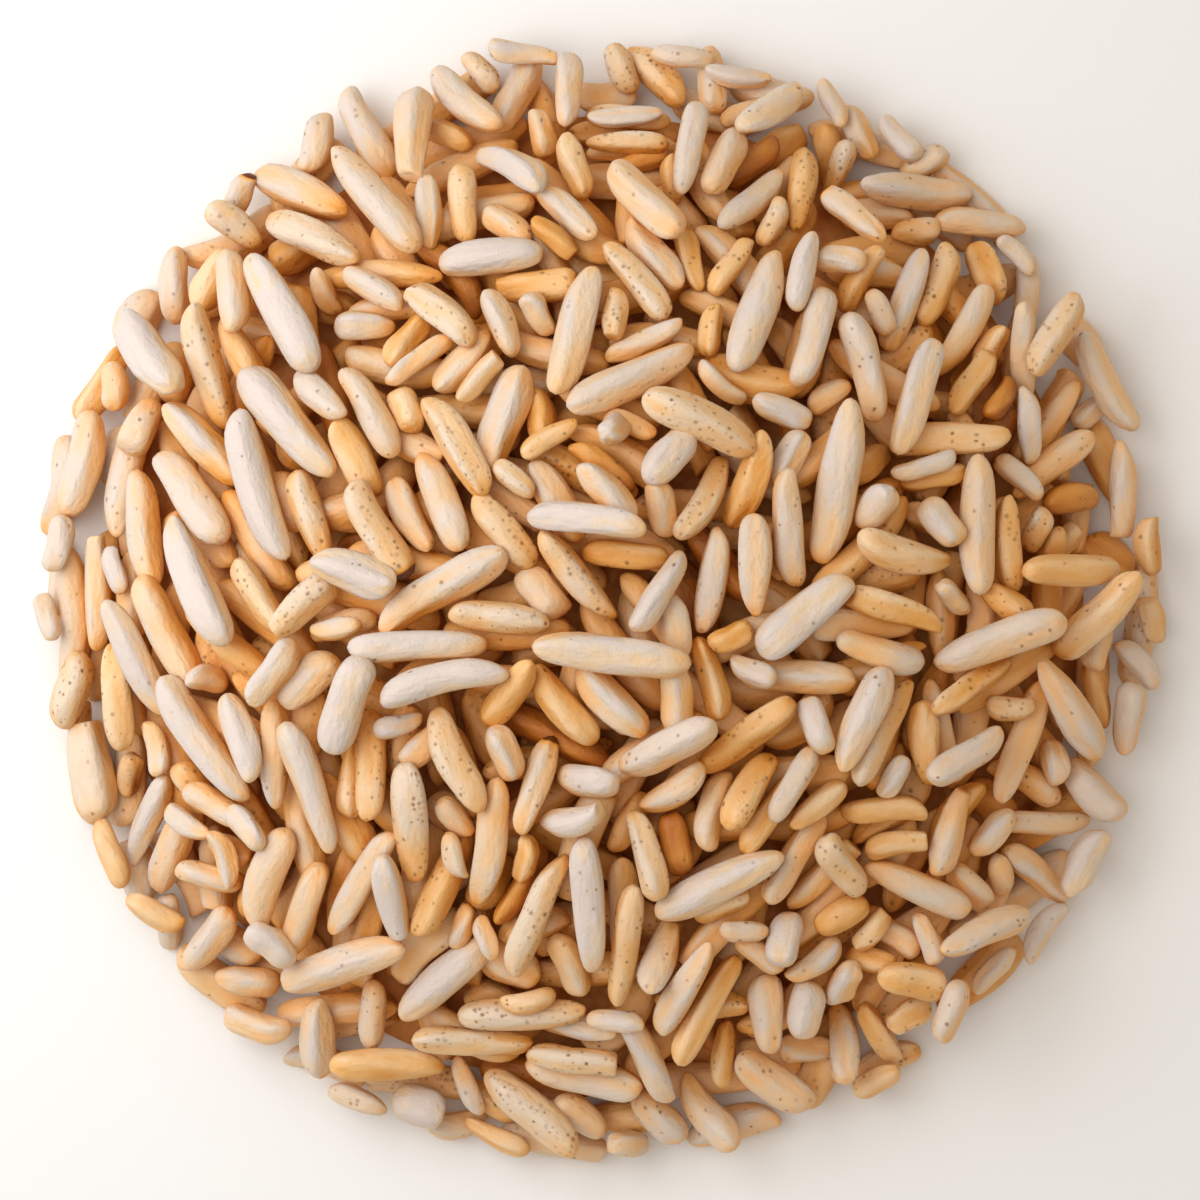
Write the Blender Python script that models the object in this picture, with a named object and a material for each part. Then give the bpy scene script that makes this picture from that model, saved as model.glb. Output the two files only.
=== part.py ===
"""A loose heap of puffed rice, as it lies on a bare surface.

The heap is one solid: a low dome of a core with the grains that show fused onto it. The grains are laid
one after the other, each where it comes to lie lowest, so that they cross, lean and leave gaps as poured
rice does. Units are metres, +Z is up, and the origin is on the surface under the middle of the heap.
"""

import math

import bmesh
import bpy
import numpy as np

MM = 0.001

# The heap
HEAP_RADIUS = 46.4 * MM
HEAP_HEIGHT = 20 * MM
RIM_HEIGHT = 5.2 * MM  # nearly two grains lying down
DOME_FLATNESS = 2.6  # a higher power gives a flatter top
DOME_FALL = 0.85
RAGGED_RIM = 1.4 * MM  # how far inside the rim a grain's own limit may lie

# The grains
GRAIN_LENGTH = 9.1 * MM
GRAIN_LENGTH_SPREAD = 1.9 * MM
SHORTEST_GRAIN = 4.8 * MM
LONGEST_GRAIN = 13.5 * MM
GRAIN_WIDTH = 3.1 * MM
GRAIN_WIDTH_SPREAD = 0.32 * MM
NARROWEST_GRAIN = 2.5 * MM
WIDEST_GRAIN = 4.1 * MM
WIDTH_PER_LENGTH = 0.04
BEND_SPREAD = 0.055
STRONG_BEND = 0.12
CUT_KEEPS = (0.55, 0.8)  # share of its half length that a broken end keeps
CUT_SHARE = 0.22
CUT_TWICE_SHARE = 0.07
BENT_SHARES = (0.8, 0.88)
STUB_SHARE = 0.07
STUB_LENGTHS = (4.4, 6.0)
STUB_WIDTHS = (3.2, 3.8)
NOSE_POWERS = (2.4, 4.4)  # each end's own: a higher power gives a blunter end, and 2 an ellipse
NOSE_ROUNDING = 0.54
MEAN_SQUARE = 1 / 3  # of how far along it a point is, which keeps a bent grain centred

# How they are laid
SEED = 12
LOOSE_DEPTH = 7.5 * MM  # from the heap's skin down to where the first grains lie
BED_DEPTH = 3.6 * MM  # how near to the skin the grains under those that show fill the heap
BED_ROOM = -1.4 * MM  # and how far above the skin they may reach: not as far as it
LAST_DEPTH = 1.6 * MM  # the same for the grains that fill in last, round those that show
HIGHEST_BUMP = 1.1 * MM
TRIES = 480
MOST_MISSES = 900
MISS_COST = 0.5 * MM
LEVEL_NOISE = 0.6 * MM
PLACE_SPREAD = 2.6 * MM
PITCH_SPREAD = 0.33
PITCH_COST = 0.6 * MM
BEDDED_IN = 0.4 * MM  # how far a grain sinks in between those under it
PAST_RIM_COST = 40
PAST_RIM_MOST = 0.3 * MM
ALIKE_SCATTER = 0.55
TRY_SCATTER = 0.3
RIM_TRY_SCATTER = 1.2  # at the rim a grain may lie either along it or across
RIM_FROM = HEAP_RADIUS - 6 * MM

# The height map on which the grains are laid
CELL = 0.4 * MM
MAP_REACH = HEAP_RADIUS + 3 * MM
PATCH = 8  # cells along one side of the patches whose depth is compared
COST_DIGITS = 8  # costs are compared to this many digits, so that every machine picks the same place

# Which way most grains lie round each place: x and y in mm, heading in degrees from +X
LIES = (
    (-40, 8, 108),
    (-30, 26, 132),
    (-12, 36, 128),
    (12, 36, 120),
    (30, 30, 35),
    (36, 12, 55),
    (24, 12, 75),
    (38, -12, 150),
    (24, -12, 40),
    (-4, 10, 150),
    (-14, 2, 20),
    (4, -4, 172),
    (-34, -16, 118),
    (-24, -30, 65),
    (-4, -24, 80),
    (6, -34, 152),
    (22, -32, 60),
)
LIE_REACH = 9 * MM

# The grains that show, each measured by eye: x and y in mm, heading in degrees, length and width in mm.
# A cut or scorched end is at the heading, and the middle of a bent one stands out to its left.
# First those that lie under others.
GRAINS_UNDER = {
    "amber": (
        (0.6, 10.9, 140, 6.4, 2.4), (12, 35, 38, 6, 2.4), (38.2, 8.3, 5, 5.5, 2.9),
        (-6.5, -23, 60, 7.5, 2.3), (6.3, -19.4, 100, 5.4, 2.8),
    ),
    "tan": (
        (9.2, -6, 106, 7, 2.2), (-2.7, -8.2, 133, 8, 2.8), (-6.9, -7.3, 52, 7.5, 2.6),
        (2.3, 3.8, 173, 7.2, 2.6), (-19.5, 11.4, 118, 7, 2.8), (-31.2, 26.3, 65, 5.5, 3),
        (-29, 20, 120, 7, 2.6), (-11.3, 32.2, 93, 6.8, 2.3), (-12, 37.3, 155, 4.5, 2.2),
        (-15.6, 20.7, 50, 6, 2.4), (-15.7, 15, 110, 3.8, 2.6), (7.6, 27, 105, 5.8, 2.1),
        (8.7, 21.2, 80, 4.5, 2), (2.6, 38.9, 176, 7, 2.3), (3.6, 35.5, 15, 4.5, 1.9),
        (18.9, 36.2, 97, 5.5, 2.5), (20.9, 26.3, 60, 6.3, 2.4), (31.7, 20.6, 60, 4.5, 2.2),
        (29.7, 17.2, 50, 6.5, 2.4), (28.3, 13.2, 178, 10, 2.9), (27, 10.2, 8, 5.5, 2.2),
        (26.3, -11.4, 97, 7.2, 2.6), (40.4, -7.8, 100, 6, 2.1), (-20.2, -14.8, 85, 6, 2.2),
        (2.1, -27.8, 82, 11, 2.6), (13.1, -16.8, 55, 8, 2.4), (10, -24.7, 20, 5, 2.3),
        (-8.8, -40.7, 145, 5.5, 1.9), (9.8, -37, 82, 6, 2.1), (19.3, -25.5, 28, 4.8, 2.4),
        (22.2, -29, 165, 4.2, 2.2), (23, -35.3, 125, 6.5, 2.5), (24.7, -33.8, 20, 4, 2.7),
    ),
    "tan cut": ((-4.6, 25, 188, 6.5, 3.1),),
    "tan bent": ((-30, -3.5, 140, 9, 2.6),),
    "tan speckled": (
        (4.9, 42.4, 133, 7.5, 2.9), (5.6, 34, 90, 4.5, 2.2), (10.5, 26.6, 51, 5.8, 2.1),
        (27.7, 25.3, 70, 7.4, 2.6), (31.7, 26.8, 112, 5.5, 2.8), (33, 4.8, 95, 8, 2.4),
        (33, 0.2, 150, 4.5, 2.6),
    ),
    "cream": (
        (-3.3, 8.2, 118, 7.5, 2.9), (0.6, 8.8, 133, 6.5, 3), (4.9, 7.4, 95, 5, 2.7),
        (-4.9, 0.3, 125, 5, 2.8), (-42.8, -1.5, 90, 12, 2.9), (-42.4, 11, 75, 9, 3),
        (-33.2, 8.2, 126, 10.3, 3.3), (-15.6, 7, 118, 7, 2.6), (-29.8, 25, 95, 8, 2.8),
        (-24.2, 32.9, 154, 9.6, 3.2), (-23.4, 36.8, 80, 5.5, 2.8), (-34.4, 25.3, 92, 6.5, 2.5),
        (-13.6, 30.9, 91, 6.3, 2.3), (-18.6, 15.3, 118, 8.5, 2.6), (-22.5, 16, 133, 7, 2.6),
        (-6.6, 41.3, 62, 8, 2.7), (-4.8, 37.8, 100, 4.2, 2.4), (-2.2, 30.8, 132, 7, 2.3),
        (-7.6, 30.3, 150, 5.2, 2.4), (4.3, 28, 132, 7.5, 2.6), (3.6, 21, 20, 7, 2.3),
        (8.8, 42, 92, 6, 2.4), (9.6, 35.6, 68, 6.8, 2.7), (20.9, 37.8, 110, 5, 2.2),
        (19.6, 27.6, 168, 4.2, 2.5), (34.5, 25.7, 85, 6, 2.4), (33.9, 19.8, 95, 9.6, 2.4),
        (42.5, -9.3, 80, 6, 2.6), (-31.3, -16.7, 150, 6.2, 2.5), (-29.6, -19.9, 160, 3.8, 2.3),
        (-31.5, -27.4, 52, 7, 2.8), (-25.8, -12.5, 90, 9, 2.6), (-26.8, -22.3, 68, 9.2, 3.2),
        (-24, -25, 74, 8.8, 2.8), (-14, -11.2, 40, 5, 2.6), (-19.6, -22.3, 62, 10.8, 2.6),
        (-29, -31, 172, 5.5, 2.8), (-18.7, -33.3, 88, 6, 2.3), (-7.8, -11.8, 105, 4.8, 2.7),
        (2.6, -17.5, 62, 5.5, 2.3), (9.2, -16.9, 72, 6.8, 2.6), (12.5, -28.1, 147, 4.6, 2),
        (4.5, -42.2, 130, 5.8, 2.9), (16.4, -36.7, 178, 4.6, 2.5), (15.2, -14.8, 56, 7, 2.3),
        (15.8, -20.8, 58, 8.8, 2.6), (29.8, -23.2, 135, 4.8, 2.6), (24.3, -27.3, 150, 4.6, 2.4),
        (26.2, -27.5, 115, 4.5, 1.9),
    ),
    "cream scorched": ((-29.1, 33, 70, 4.2, 2.4),),
    "speckled": (
        (-7.6, 5.2, 130, 7.5, 2.8), (-29.9, 30.4, 140, 5.6, 2.7), (1.8, 42.9, 110, 4.5, 2.4),
        (12.2, 40, 20, 5, 2), (26.3, 35.3, 30, 4.5, 2.5), (-10.2, -36, 176, 10, 2.5),
        (19.3, -21.2, 130, 6.6, 2.8),
    ),
    "pale": (
        (6.2, -2.2, 108, 6, 2.9), (6, -7.5, 95, 7, 3), (0.6, -8.3, 130, 8, 3.2), (15.4, 11.2, 60, 5, 2.4),
        (5.5, 11.1, 48, 5.8, 3.2), (-32.1, 12.4, 132, 9.2, 3.1), (-23.5, -6.7, 40, 6, 3.2),
        (-19, 37.6, 122, 8.5, 3.2), (-18.5, 22, 175, 5, 2.6), (-11.2, 19.3, 52, 6.5, 2.8),
        (18, 16.4, 35, 4, 2.3), (39.8, 15.8, 40, 4.5, 1.9), (17.2, -10.3, 110, 5, 2.7),
        (40.6, -3.9, 72, 4.5, 2.5), (-36.8, -17.6, 64, 8.8, 2.4), (-28.3, -18.2, 135, 4.8, 2.2),
        (-26.6, -27.8, 140, 4.8, 2.6), (-23, -35.3, 93, 7.5, 3), (-2.6, -29, 112, 6, 2.7),
        (-1.2, -41.6, 140, 5.5, 2.5), (16.8, -33.2, 80, 4.9, 3),
    ),
    "pale cut": ((-40.6, 0.2, 95, 9.5, 2.5),),
}

GRAINS_OVER = {
    "tan": (
        (12.2, 9.5, 67, 8.7, 2.7), (-4.4, 14.5, 97, 5.2, 2.5), (-17.7, 25.9, 179, 11.6, 2.3),
        (-2.4, 34.6, 112, 5.8, 2.5), (24.4, 3.6, 166, 8.7, 2.8), (37.9, 2.2, 178, 9.4, 3),
        (29.7, -7.1, 33, 9.2, 2.4), (40, -0.9, 44, 10, 2.8), (-17.5, -37.3, 1, 9.5, 2.8),
        (8.8, -32.6, 60, 10.2, 2.3), (17.2, -16.7, 35, 5.8, 2.2), (23.1, -16.9, 7, 7, 2.3),
        (25.3, -30.6, 175, 5.8, 3.1),
    ),
    "tan cut": ((23.5, -1.1, 168, 8.1, 2.8),),
    "tan speckled": (
        (-27.4, -0.1, 127, 7.7, 2.6), (-39.3, -8, 93, 9, 2.7), (16.4, 33.5, 80, 8, 2.5),
        (-12.8, -22.5, 65, 10, 2.6), (11.5, -15.4, 62, 7.6, 2.8), (11.4, -10.8, 32, 9.6, 2.6),
    ),
    "cream": (
        (2.6, 17.2, 206, 11.4, 3.3), (-7.5, 14.1, 72, 9.2, 3), (-12.3, 7.8, 117, 8.8, 2.9),
        (9.3, 1.2, 82, 8.7, 2.8), (15, 6, 95, 10, 2.9), (-12.9, 1.2, 33, 12.2, 3.1),
        (-38.8, 10.3, 79, 11.2, 2.8), (-36.9, 6, 100, 10, 2.8), (-17.8, 32.2, 130, 12.6, 3.4),
        (-11, 40.2, 135, 8.5, 3.1), (-14.6, 18.9, 41, 6.5, 1.9), (-2.9, 41.4, 81, 7, 2.7),
        (-8.2, 21.8, 112, 6, 2.5), (3.3, 31.7, 136, 9, 3.1), (7.1, 36.8, 78, 9, 2.4),
        (25.5, 33.2, 179, 10.5, 3.1), (30.8, 30.4, 172, 8, 2.7), (16.8, 20.8, 75, 8.8, 2.7),
        (36.6, 14.7, 52, 8.6, 2.3), (30.5, 5.7, 91, 11.5, 2.9), (29.1, -12.7, 35, 7.9, 2.7),
        (34.1, -11.6, 69, 10.7, 3), (38.3, -8.8, 127, 10.9, 3.1), (-35, -20.5, 62, 7.9, 2.8),
        (-31.4, -22.2, 162, 5.8, 2.4), (-20.8, -29.2, 18, 11.9, 3.1), (-8.7, -19.3, 82, 11.2, 3.1),
        (5.5, -11.4, 30, 10, 3.1), (7, -30.8, 61, 9.8, 2.8), (13.3, -33.2, 93, 6.6, 2.9),
        (-1, -38.3, 167, 9.8, 3.2), (13.8, -39, 145, 7.8, 3), (25.2, -23.4, 152, 9.6, 2.9),
        (30.8, -27, 22, 9, 2.9), (28, -32.8, 70, 5.4, 2.5), (35.6, -22.2, 135, 8, 2.5),
        (35.8, -18, 177, 9.2, 2.3),
    ),
    "cream cut": (
        (-15, 37.8, 270, 9.2, 3.1), (42.2, 9, 268, 8, 2.6), (5.1, -29, 68, 6.4, 2.6),
        (27.8, -18.6, 80, 7.3, 2.5),
    ),
    "cream bent": ((21.6, 19, 282, 9.2, 2.9), (32.3, -3.5, 24, 11.3, 3.1)),
    "cream scorched": ((20.2, 30.7, 138, 7.2, 2.4), (-5.3, -14.4, 72, 8.4, 2.5), (20, -36, 95, 7.6, 2.6)),
    "cream on end": ((36.9, 10.6, 120, 4.6, 2.7),),
    "speckled": (
        (8, 8.4, 66, 8.4, 2.7), (-11.2, 12.4, 119, 9.6, 2.9), (-2.2, 1.6, 131, 9.4, 2.7),
        (-7.8, -1.5, 170, 8.3, 2.9), (-31.4, 18.9, 107, 10.7, 2.9), (-23.5, 6.4, 113, 7.9, 2.7),
        (-22.8, 29.2, 156, 10.2, 3.2), (3.1, 25.8, 130, 8, 2.4), (2.1, 36.8, 3, 6.8, 1.9),
        (36.5, 21.6, 58, 8, 2.6), (22.7, -10.8, 61, 9.9, 2.7), (-18.7, -13.5, 90, 9, 2.8),
        (-11.3, -13, 118, 9.2, 3), (-15.3, -17.5, 95, 10.3, 3.1), (-5.3, -24.9, 63, 11, 2.7),
        (4.2, -20.5, 104, 7.6, 2.6), (-6.5, -33.7, 178, 10.5, 2.7), (-5.2, -41.4, 142, 10, 3.2),
    ),
    "speckled cut": ((-23.7, -0.2, 217, 7.2, 2.7),),
    "speckled bent": ((7.8, 14.2, 332, 10, 3.1), (-12.6, 22.9, 320, 7.6, 2.8)),
    "speckled scorched": ((-17.4, 5.8, 304, 9, 3.1),),
    "pale": (
        (-1.2, 6.7, 175, 10.3, 2.9), (4.9, 0.3, 57, 7.7, 2.2), (-14.6, -3.4, 4, 11.3, 2.8),
        (-12.5, -6, 11, 10.6, 2.9), (1.2, -4.6, 175, 12.8, 3.4), (-35.8, 19.6, 128, 10.5, 3.8),
        (-32.3, 1.7, 114, 12.6, 3.5), (-24.8, 14.4, 127, 12, 3.6), (-34.9, -2.4, 115, 10.3, 3.1),
        (-37.7, -5, 117, 10.7, 2.6), (-25.7, -5.6, 54, 6.4, 2.9), (-20.2, -8.1, 80, 8.5, 3.6),
        (-32, -11.4, 122, 12.4, 3.3), (-28.5, -11, 110, 7.8, 2.8), (-25.3, 23, 120, 12.3, 3.7),
        (-8.6, 27.6, 5, 8.7, 2.9), (-1.7, 21.8, 75, 11.2, 2.9), (13.9, 39.2, 32, 7.4, 2.6),
        (12, 31.8, 42, 8.6, 2.5), (12.2, 23, 69, 11.4, 3.2), (16.4, 26.4, 80, 6.8, 2.4),
        (24.8, 24, 72, 9, 2.5), (29.6, 21.5, 62, 8.6, 2.6), (14.6, 14.8, 157, 5.2, 2.5),
        (25.6, 16.6, 70, 10.2, 3), (22, 7.1, 60, 4.8, 3), (27.3, 5.9, 125, 4.6, 2.6),
        (18.7, 9.7, 83, 13.7, 3.6), (22.5, -4.1, 161, 7.9, 2.6), (16, -0.9, 38, 9.6, 3.5),
        (15.9, -6.4, 178, 9.6, 2.8), (20.6, -9.4, 67, 9.2, 3.1), (-23.3, -15, 110, 11.4, 3),
        (-12.4, -30.2, 38, 10.5, 3.2), (-1, -14.2, 176, 6.3, 2.9), (-1, -24.3, 98, 11.6, 3.1),
        (9.4, -22.5, 28, 11.6, 2.9), (14.6, -27.3, 75, 4.8, 2.9),
    ),
    "pale cut": ((-17.2, -23.8, 282, 7.6, 2.8), (-2.4, -17.7, 8, 6, 2.7), (3.7, -37.5, 118, 8.2, 2.7)),
    "pale bent": ((-27.3, 9.2, 104, 12.9, 3.4), (-19.3, 2.4, 335, 7.4, 3.2), (-6.8, 34.6, 332, 8.3, 2.9)),
    "pale on end": ((1.3, 13.2, 40, 5, 2.7), (19.8, -30.7, 60, 4.6, 2.7), (32.5, -22.6, 110, 4.2, 2.1)),
}
SHOWN_BEND = 0.055
ON_END_PITCH = 1.2
SHOWN_TRIES = 160
SHOWN_PLACE_SPREAD = 0.35 * MM  # how freely these grains find their rest
SHOWN_HEADING_SPREAD = 0.05
SHOWN_PITCH_SPREAD = 0.22

# The solid
GRAINS_SHOWN = 282
PRESSED_IN = 0.3 * MM  # how much further a grain is pressed into what it lies on, so that they fuse
RIM_FAVOUR = 2.0  # how much more a grain at the rim counts, because it makes the outline
RIM_FAVOUR_POWER = 4
GRAIN_SIDES = 5
GRAIN_RINGS = 3
FACET_SWELL = 1.06  # makes up for what flat sides cut off a round section
POLE_SIDE = 0.1  # what is this near the middle line or the middle of a ball of radius 1
CORE_RINGS = 7
CORE_SIDES = 26
CORE_RADIUS = 41.8 * MM
CORE_WAVE = 0.015
CORE_WAVES = 5
CORE_UNDER_GRAINS = 0.9 * MM
CORE_AVERAGE_REACH = 2.4 * MM
CORE_LOWEST = 1 * MM
SAME_PLACE = 0.01 * MM

CREAM = (0.74, 0.50, 0.28, 1.0)
CREAM_ROUGHNESS = 0.5


class Grain:
    """One puffed grain: a blunt spindle that may be bent and may be broken off at an end."""

    def __init__(self, length, width, bend, bend_side, noses, tail, head):
        self.length = length
        self.width = width
        self.bend = bend
        self.bend_side = bend_side
        self.noses = noses
        self.tail = tail
        self.head = head
        self.x = self.y = self.z = self.heading = self.pitch = 0.0

    def half_width(self, u):
        """Half of its width at u, which runs from -1 at the tail to 1 at the head."""
        spindle = np.abs(np.where(u < 0, u * self.tail, u * self.head))
        return self.width / 2 * (1 - spindle ** np.where(u < 0, *self.noses)) ** NOSE_ROUNDING

    def bow(self, u):
        """How far the bend moves its middle line sideways and up at u."""
        off = self.bend * self.length * (MEAN_SQUARE - u**2)
        return off * math.cos(self.bend_side), off * math.sin(self.bend_side)

    def side_points(self, along, across, side):
        """Points on its underside (side -1) or upper side (side 1), before it is turned."""
        u, v = (values.ravel() for values in np.meshgrid(along, across, indexing="ij"))
        sideways, up = self.bow(u)
        radius = self.half_width(u)
        return u * self.length / 2, sideways + v * radius, up + side * np.sqrt(1 - v**2) * radius


def turned(points, heading, pitch):
    """The points turned by each heading and pitch, in a row for each."""
    along, across, up = points
    cos_h, sin_h = np.cos(heading)[:, None], np.sin(heading)[:, None]
    cos_p, sin_p = np.cos(pitch)[:, None], np.sin(pitch)[:, None]
    level = cos_p * along - sin_p * up
    return cos_h * level - sin_h * across, sin_h * level + cos_h * across, sin_p * along + cos_p * up


def skin_height(x, y):
    """Height of the heap's upper side: a flat-topped dome that ends one grain high."""
    out = np.minimum(np.hypot(x, y) / HEAP_RADIUS, 1)
    dome = HEAP_HEIGHT * (1 - out**DOME_FLATNESS) ** DOME_FALL
    return np.where(out < 1, np.maximum(dome, RIM_HEIGHT), 0)


def usual_heading(x, y):
    """The heading that most grains take at a place. Opposite headings count as the same."""
    lie_x, lie_y, degrees = (np.array(column, float) for column in zip(*LIES))
    distance = np.hypot(x - lie_x * MM, y - lie_y * MM)
    weight = np.exp(-(distance**2) / (2 * LIE_REACH**2))
    double = 2 * np.radians(degrees)
    return math.atan2((weight * np.sin(double)).sum(), (weight * np.cos(double)).sum()) / 2


class Heap:
    """The heap as it grows: its height on a square grid, and the grain on top at each cell."""

    UNDER_ALONG = np.linspace(-1, 1, 11)
    UNDER_ACROSS = np.array([-0.9, -0.55, 0, 0.55, 0.9])
    TOP_ALONG = np.linspace(-1, 1, 61)
    TOP_ACROSS = np.linspace(-0.98, 0.98, 21)

    def __init__(self, rng):
        self.rng = rng
        self.grains = []
        ticks = np.arange(-MAP_REACH, MAP_REACH + CELL / 2, CELL)
        self.count = len(ticks)
        self.x, self.y = np.meshgrid(ticks, ticks, indexing="ij")
        self.skin = skin_height(self.x, self.y)
        self.height = np.maximum(self.skin - LOOSE_DEPTH, 0)
        self.owner = np.full(self.x.shape, -1)

    def cells(self, x, y):
        i = np.rint((x + MAP_REACH) / CELL).astype(int)
        j = np.rint((y + MAP_REACH) / CELL).astype(int)
        return np.clip(i, 0, self.count - 1), np.clip(j, 0, self.count - 1)

    def settle(self, grain, x, y, heading, pitch, limit):
        """Lays the grain where, of the places tried, it lies lowest. Says whether that is in the heap."""
        under = grain.side_points(self.UNDER_ALONG, self.UNDER_ACROSS, -1)
        px, py, pz = turned(under, heading, pitch)
        px, py = px + x[:, None], py + y[:, None]
        rest = (self.height[self.cells(px, py)] - pz).max(axis=1) - BEDDED_IN
        past = np.clip(np.hypot(px, py).max(axis=1) - limit, 0, None)
        cost = rest - skin_height(x, y) + PAST_RIM_COST * past + PITCH_COST * np.abs(pitch)
        best = int(np.argmin(np.round(cost, COST_DIGITS)))
        grain.x, grain.y, grain.z = float(x[best]), float(y[best]), float(rest[best])
        grain.heading, grain.pitch = float(heading[best]), float(pitch[best])
        return past[best] < PAST_RIM_MOST

    def add(self, grain, highest):
        """Adds a settled grain to the height map, unless it would stand out above the skin too far."""
        top = grain.side_points(self.TOP_ALONG, self.TOP_ACROSS, 1)
        px, py, pz = (row[0] for row in turned(top, np.array([grain.heading]), np.array([grain.pitch])))
        pz = pz + grain.z
        i, j = self.cells(px + grain.x, py + grain.y)
        if (pz - self.skin[i, j]).max() > highest:
            return False
        order = np.argsort(pz, kind="stable")
        i, j, pz = i[order], j[order], pz[order]
        above = pz > self.height[i, j]
        self.height[i[above], j[above]] = pz[above]
        self.owner[i[above], j[above]] = len(self.grains)
        self.grains.append(grain)
        return True

    def new_grain(self):
        """A grain of the mix: most are whole, some are broken at one or both ends, bent, or short stubs."""
        rng = self.rng
        length = float(np.clip(rng.normal(GRAIN_LENGTH, GRAIN_LENGTH_SPREAD), SHORTEST_GRAIN, LONGEST_GRAIN))
        width = float(np.clip(rng.normal(GRAIN_WIDTH, GRAIN_WIDTH_SPREAD), NARROWEST_GRAIN, WIDEST_GRAIN))
        width += WIDTH_PER_LENGTH * (length - GRAIN_LENGTH)
        bend = abs(rng.normal(0, BEND_SPREAD))
        noses = rng.uniform(*NOSE_POWERS, 2)
        tail = head = 1.0
        kind = rng.random()
        if kind < CUT_SHARE:
            head = rng.uniform(*CUT_KEEPS)
        if kind < CUT_TWICE_SHARE:
            tail = rng.uniform(*CUT_KEEPS)
        if BENT_SHARES[0] < kind < BENT_SHARES[1]:
            bend += STRONG_BEND
        if kind > 1 - STUB_SHARE:
            length = rng.uniform(*STUB_LENGTHS) * MM
            width = rng.uniform(*STUB_WIDTHS) * MM
        return Grain(length, width, bend, rng.uniform(0, 2 * math.pi), noses, tail, head)

    def fill(self, depth, highest):
        """Lays grains in the deepest patch, again and again, until none lies deeper than depth."""
        rng = self.rng
        patches = self.count // PATCH
        middle = (np.arange(patches) * PATCH + PATCH / 2) * CELL - MAP_REACH
        px, py = np.meshgrid(middle, middle, indexing="ij")
        wanted = skin_height(px, py)
        inside = np.hypot(px, py) < HEAP_RADIUS - GRAIN_WIDTH / 2
        misses = np.zeros(px.shape)
        square = slice(0, patches * PATCH)
        while misses.sum() <= MOST_MISSES:
            blocks = self.height[square, square].reshape(patches, PATCH, patches, PATCH)
            short = wanted - blocks.mean(axis=(1, 3)) - MISS_COST * misses
            short = np.where(inside, short, -HEAP_HEIGHT) + LEVEL_NOISE * rng.random(px.shape)
            spot = np.unravel_index(np.argmax(np.round(short, COST_DIGITS)), px.shape)
            if short[spot] < depth:
                return
            grain = self.new_grain()
            x = px[spot] + rng.uniform(-PLACE_SPREAD, PLACE_SPREAD, TRIES)
            y = py[spot] + rng.uniform(-PLACE_SPREAD, PLACE_SPREAD, TRIES)
            heading = usual_heading(px[spot], py[spot]) + rng.normal(0, ALIKE_SCATTER)
            at_rim = np.hypot(px[spot], py[spot]) > RIM_FROM
            heading = heading + rng.normal(0, RIM_TRY_SCATTER if at_rim else TRY_SCATTER, TRIES)
            pitch = rng.normal(0, PITCH_SPREAD, TRIES)
            limit = HEAP_RADIUS - rng.uniform(0, RAGGED_RIM)
            if not (self.settle(grain, x, y, heading, pitch, limit) and self.add(grain, highest)):
                misses[spot] += 1

    def lay_shown(self, looks):
        """Lays the grains that show, each at its own place and heading."""
        rng = self.rng
        near = SHOWN_PLACE_SPREAD
        turn = SHOWN_HEADING_SPREAD
        for look, places in looks.items():
            for x, y, heading, length, width in places:
                bend = SHOWN_BEND if "bent" in look else abs(rng.normal(0, BEND_SPREAD)) / 2
                side = 0.0 if "bent" in look else rng.uniform(0, 2 * math.pi)
                noses = rng.uniform(*NOSE_POWERS, 2)
                head = CUT_KEEPS[1] if "cut" in look else 1.0
                pitch = ON_END_PITCH if "on end" in look else 0.0
                grain = Grain(length * MM, width * MM, bend, side, noses, 1.0, head)
                self.settle(
                    grain,
                    x * MM + rng.uniform(-near, near, SHOWN_TRIES),
                    y * MM + rng.uniform(-near, near, SHOWN_TRIES),
                    math.radians(heading) + rng.uniform(-turn, turn, SHOWN_TRIES),
                    pitch + rng.normal(0, SHOWN_PITCH_SPREAD, SHOWN_TRIES),
                    HEAP_RADIUS,
                )
                self.add(grain, math.inf)

    def shown(self, count):
        """The grains that show most, from above and from the sides, where the heap is steep."""
        slope = np.hypot(*np.gradient(self.skin, CELL))
        out = np.hypot(self.x, self.y) / HEAP_RADIUS
        weight = np.hypot(1, slope) * (1 + RIM_FAVOUR * out**RIM_FAVOUR_POWER)
        seen = self.owner >= 0
        area = np.bincount(self.owner[seen], weight[seen], len(self.grains))
        order = np.argsort(-np.round(area, COST_DIGITS), kind="stable")
        return [self.grains[index] for index in sorted(order[:count])]

    def core_height(self, x, y):
        """Height of the core at a place: the grains' mean height round it, less what lets them stand out."""
        near = np.hypot(self.x - x, self.y - y) < CORE_AVERAGE_REACH
        return max(float(self.height[near].mean()) - CORE_UNDER_GRAINS, CORE_LOWEST)


def lay_heap():
    heap = Heap(np.random.default_rng(SEED))
    heap.fill(BED_DEPTH, BED_ROOM)
    heap.lay_shown(GRAINS_UNDER)
    heap.lay_shown(GRAINS_OVER)
    heap.fill(LAST_DEPTH, HIGHEST_BUMP)
    return heap


def mesh_object(name, bm, collection):
    """Turns a bmesh into an object."""
    bmesh.ops.recalc_face_normals(bm, faces=bm.faces)
    mesh = bpy.data.meshes.new(name)
    bm.to_mesh(mesh)
    bm.free()
    obj = bpy.data.objects.new(name, mesh)
    collection.objects.link(obj)
    return obj


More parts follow.
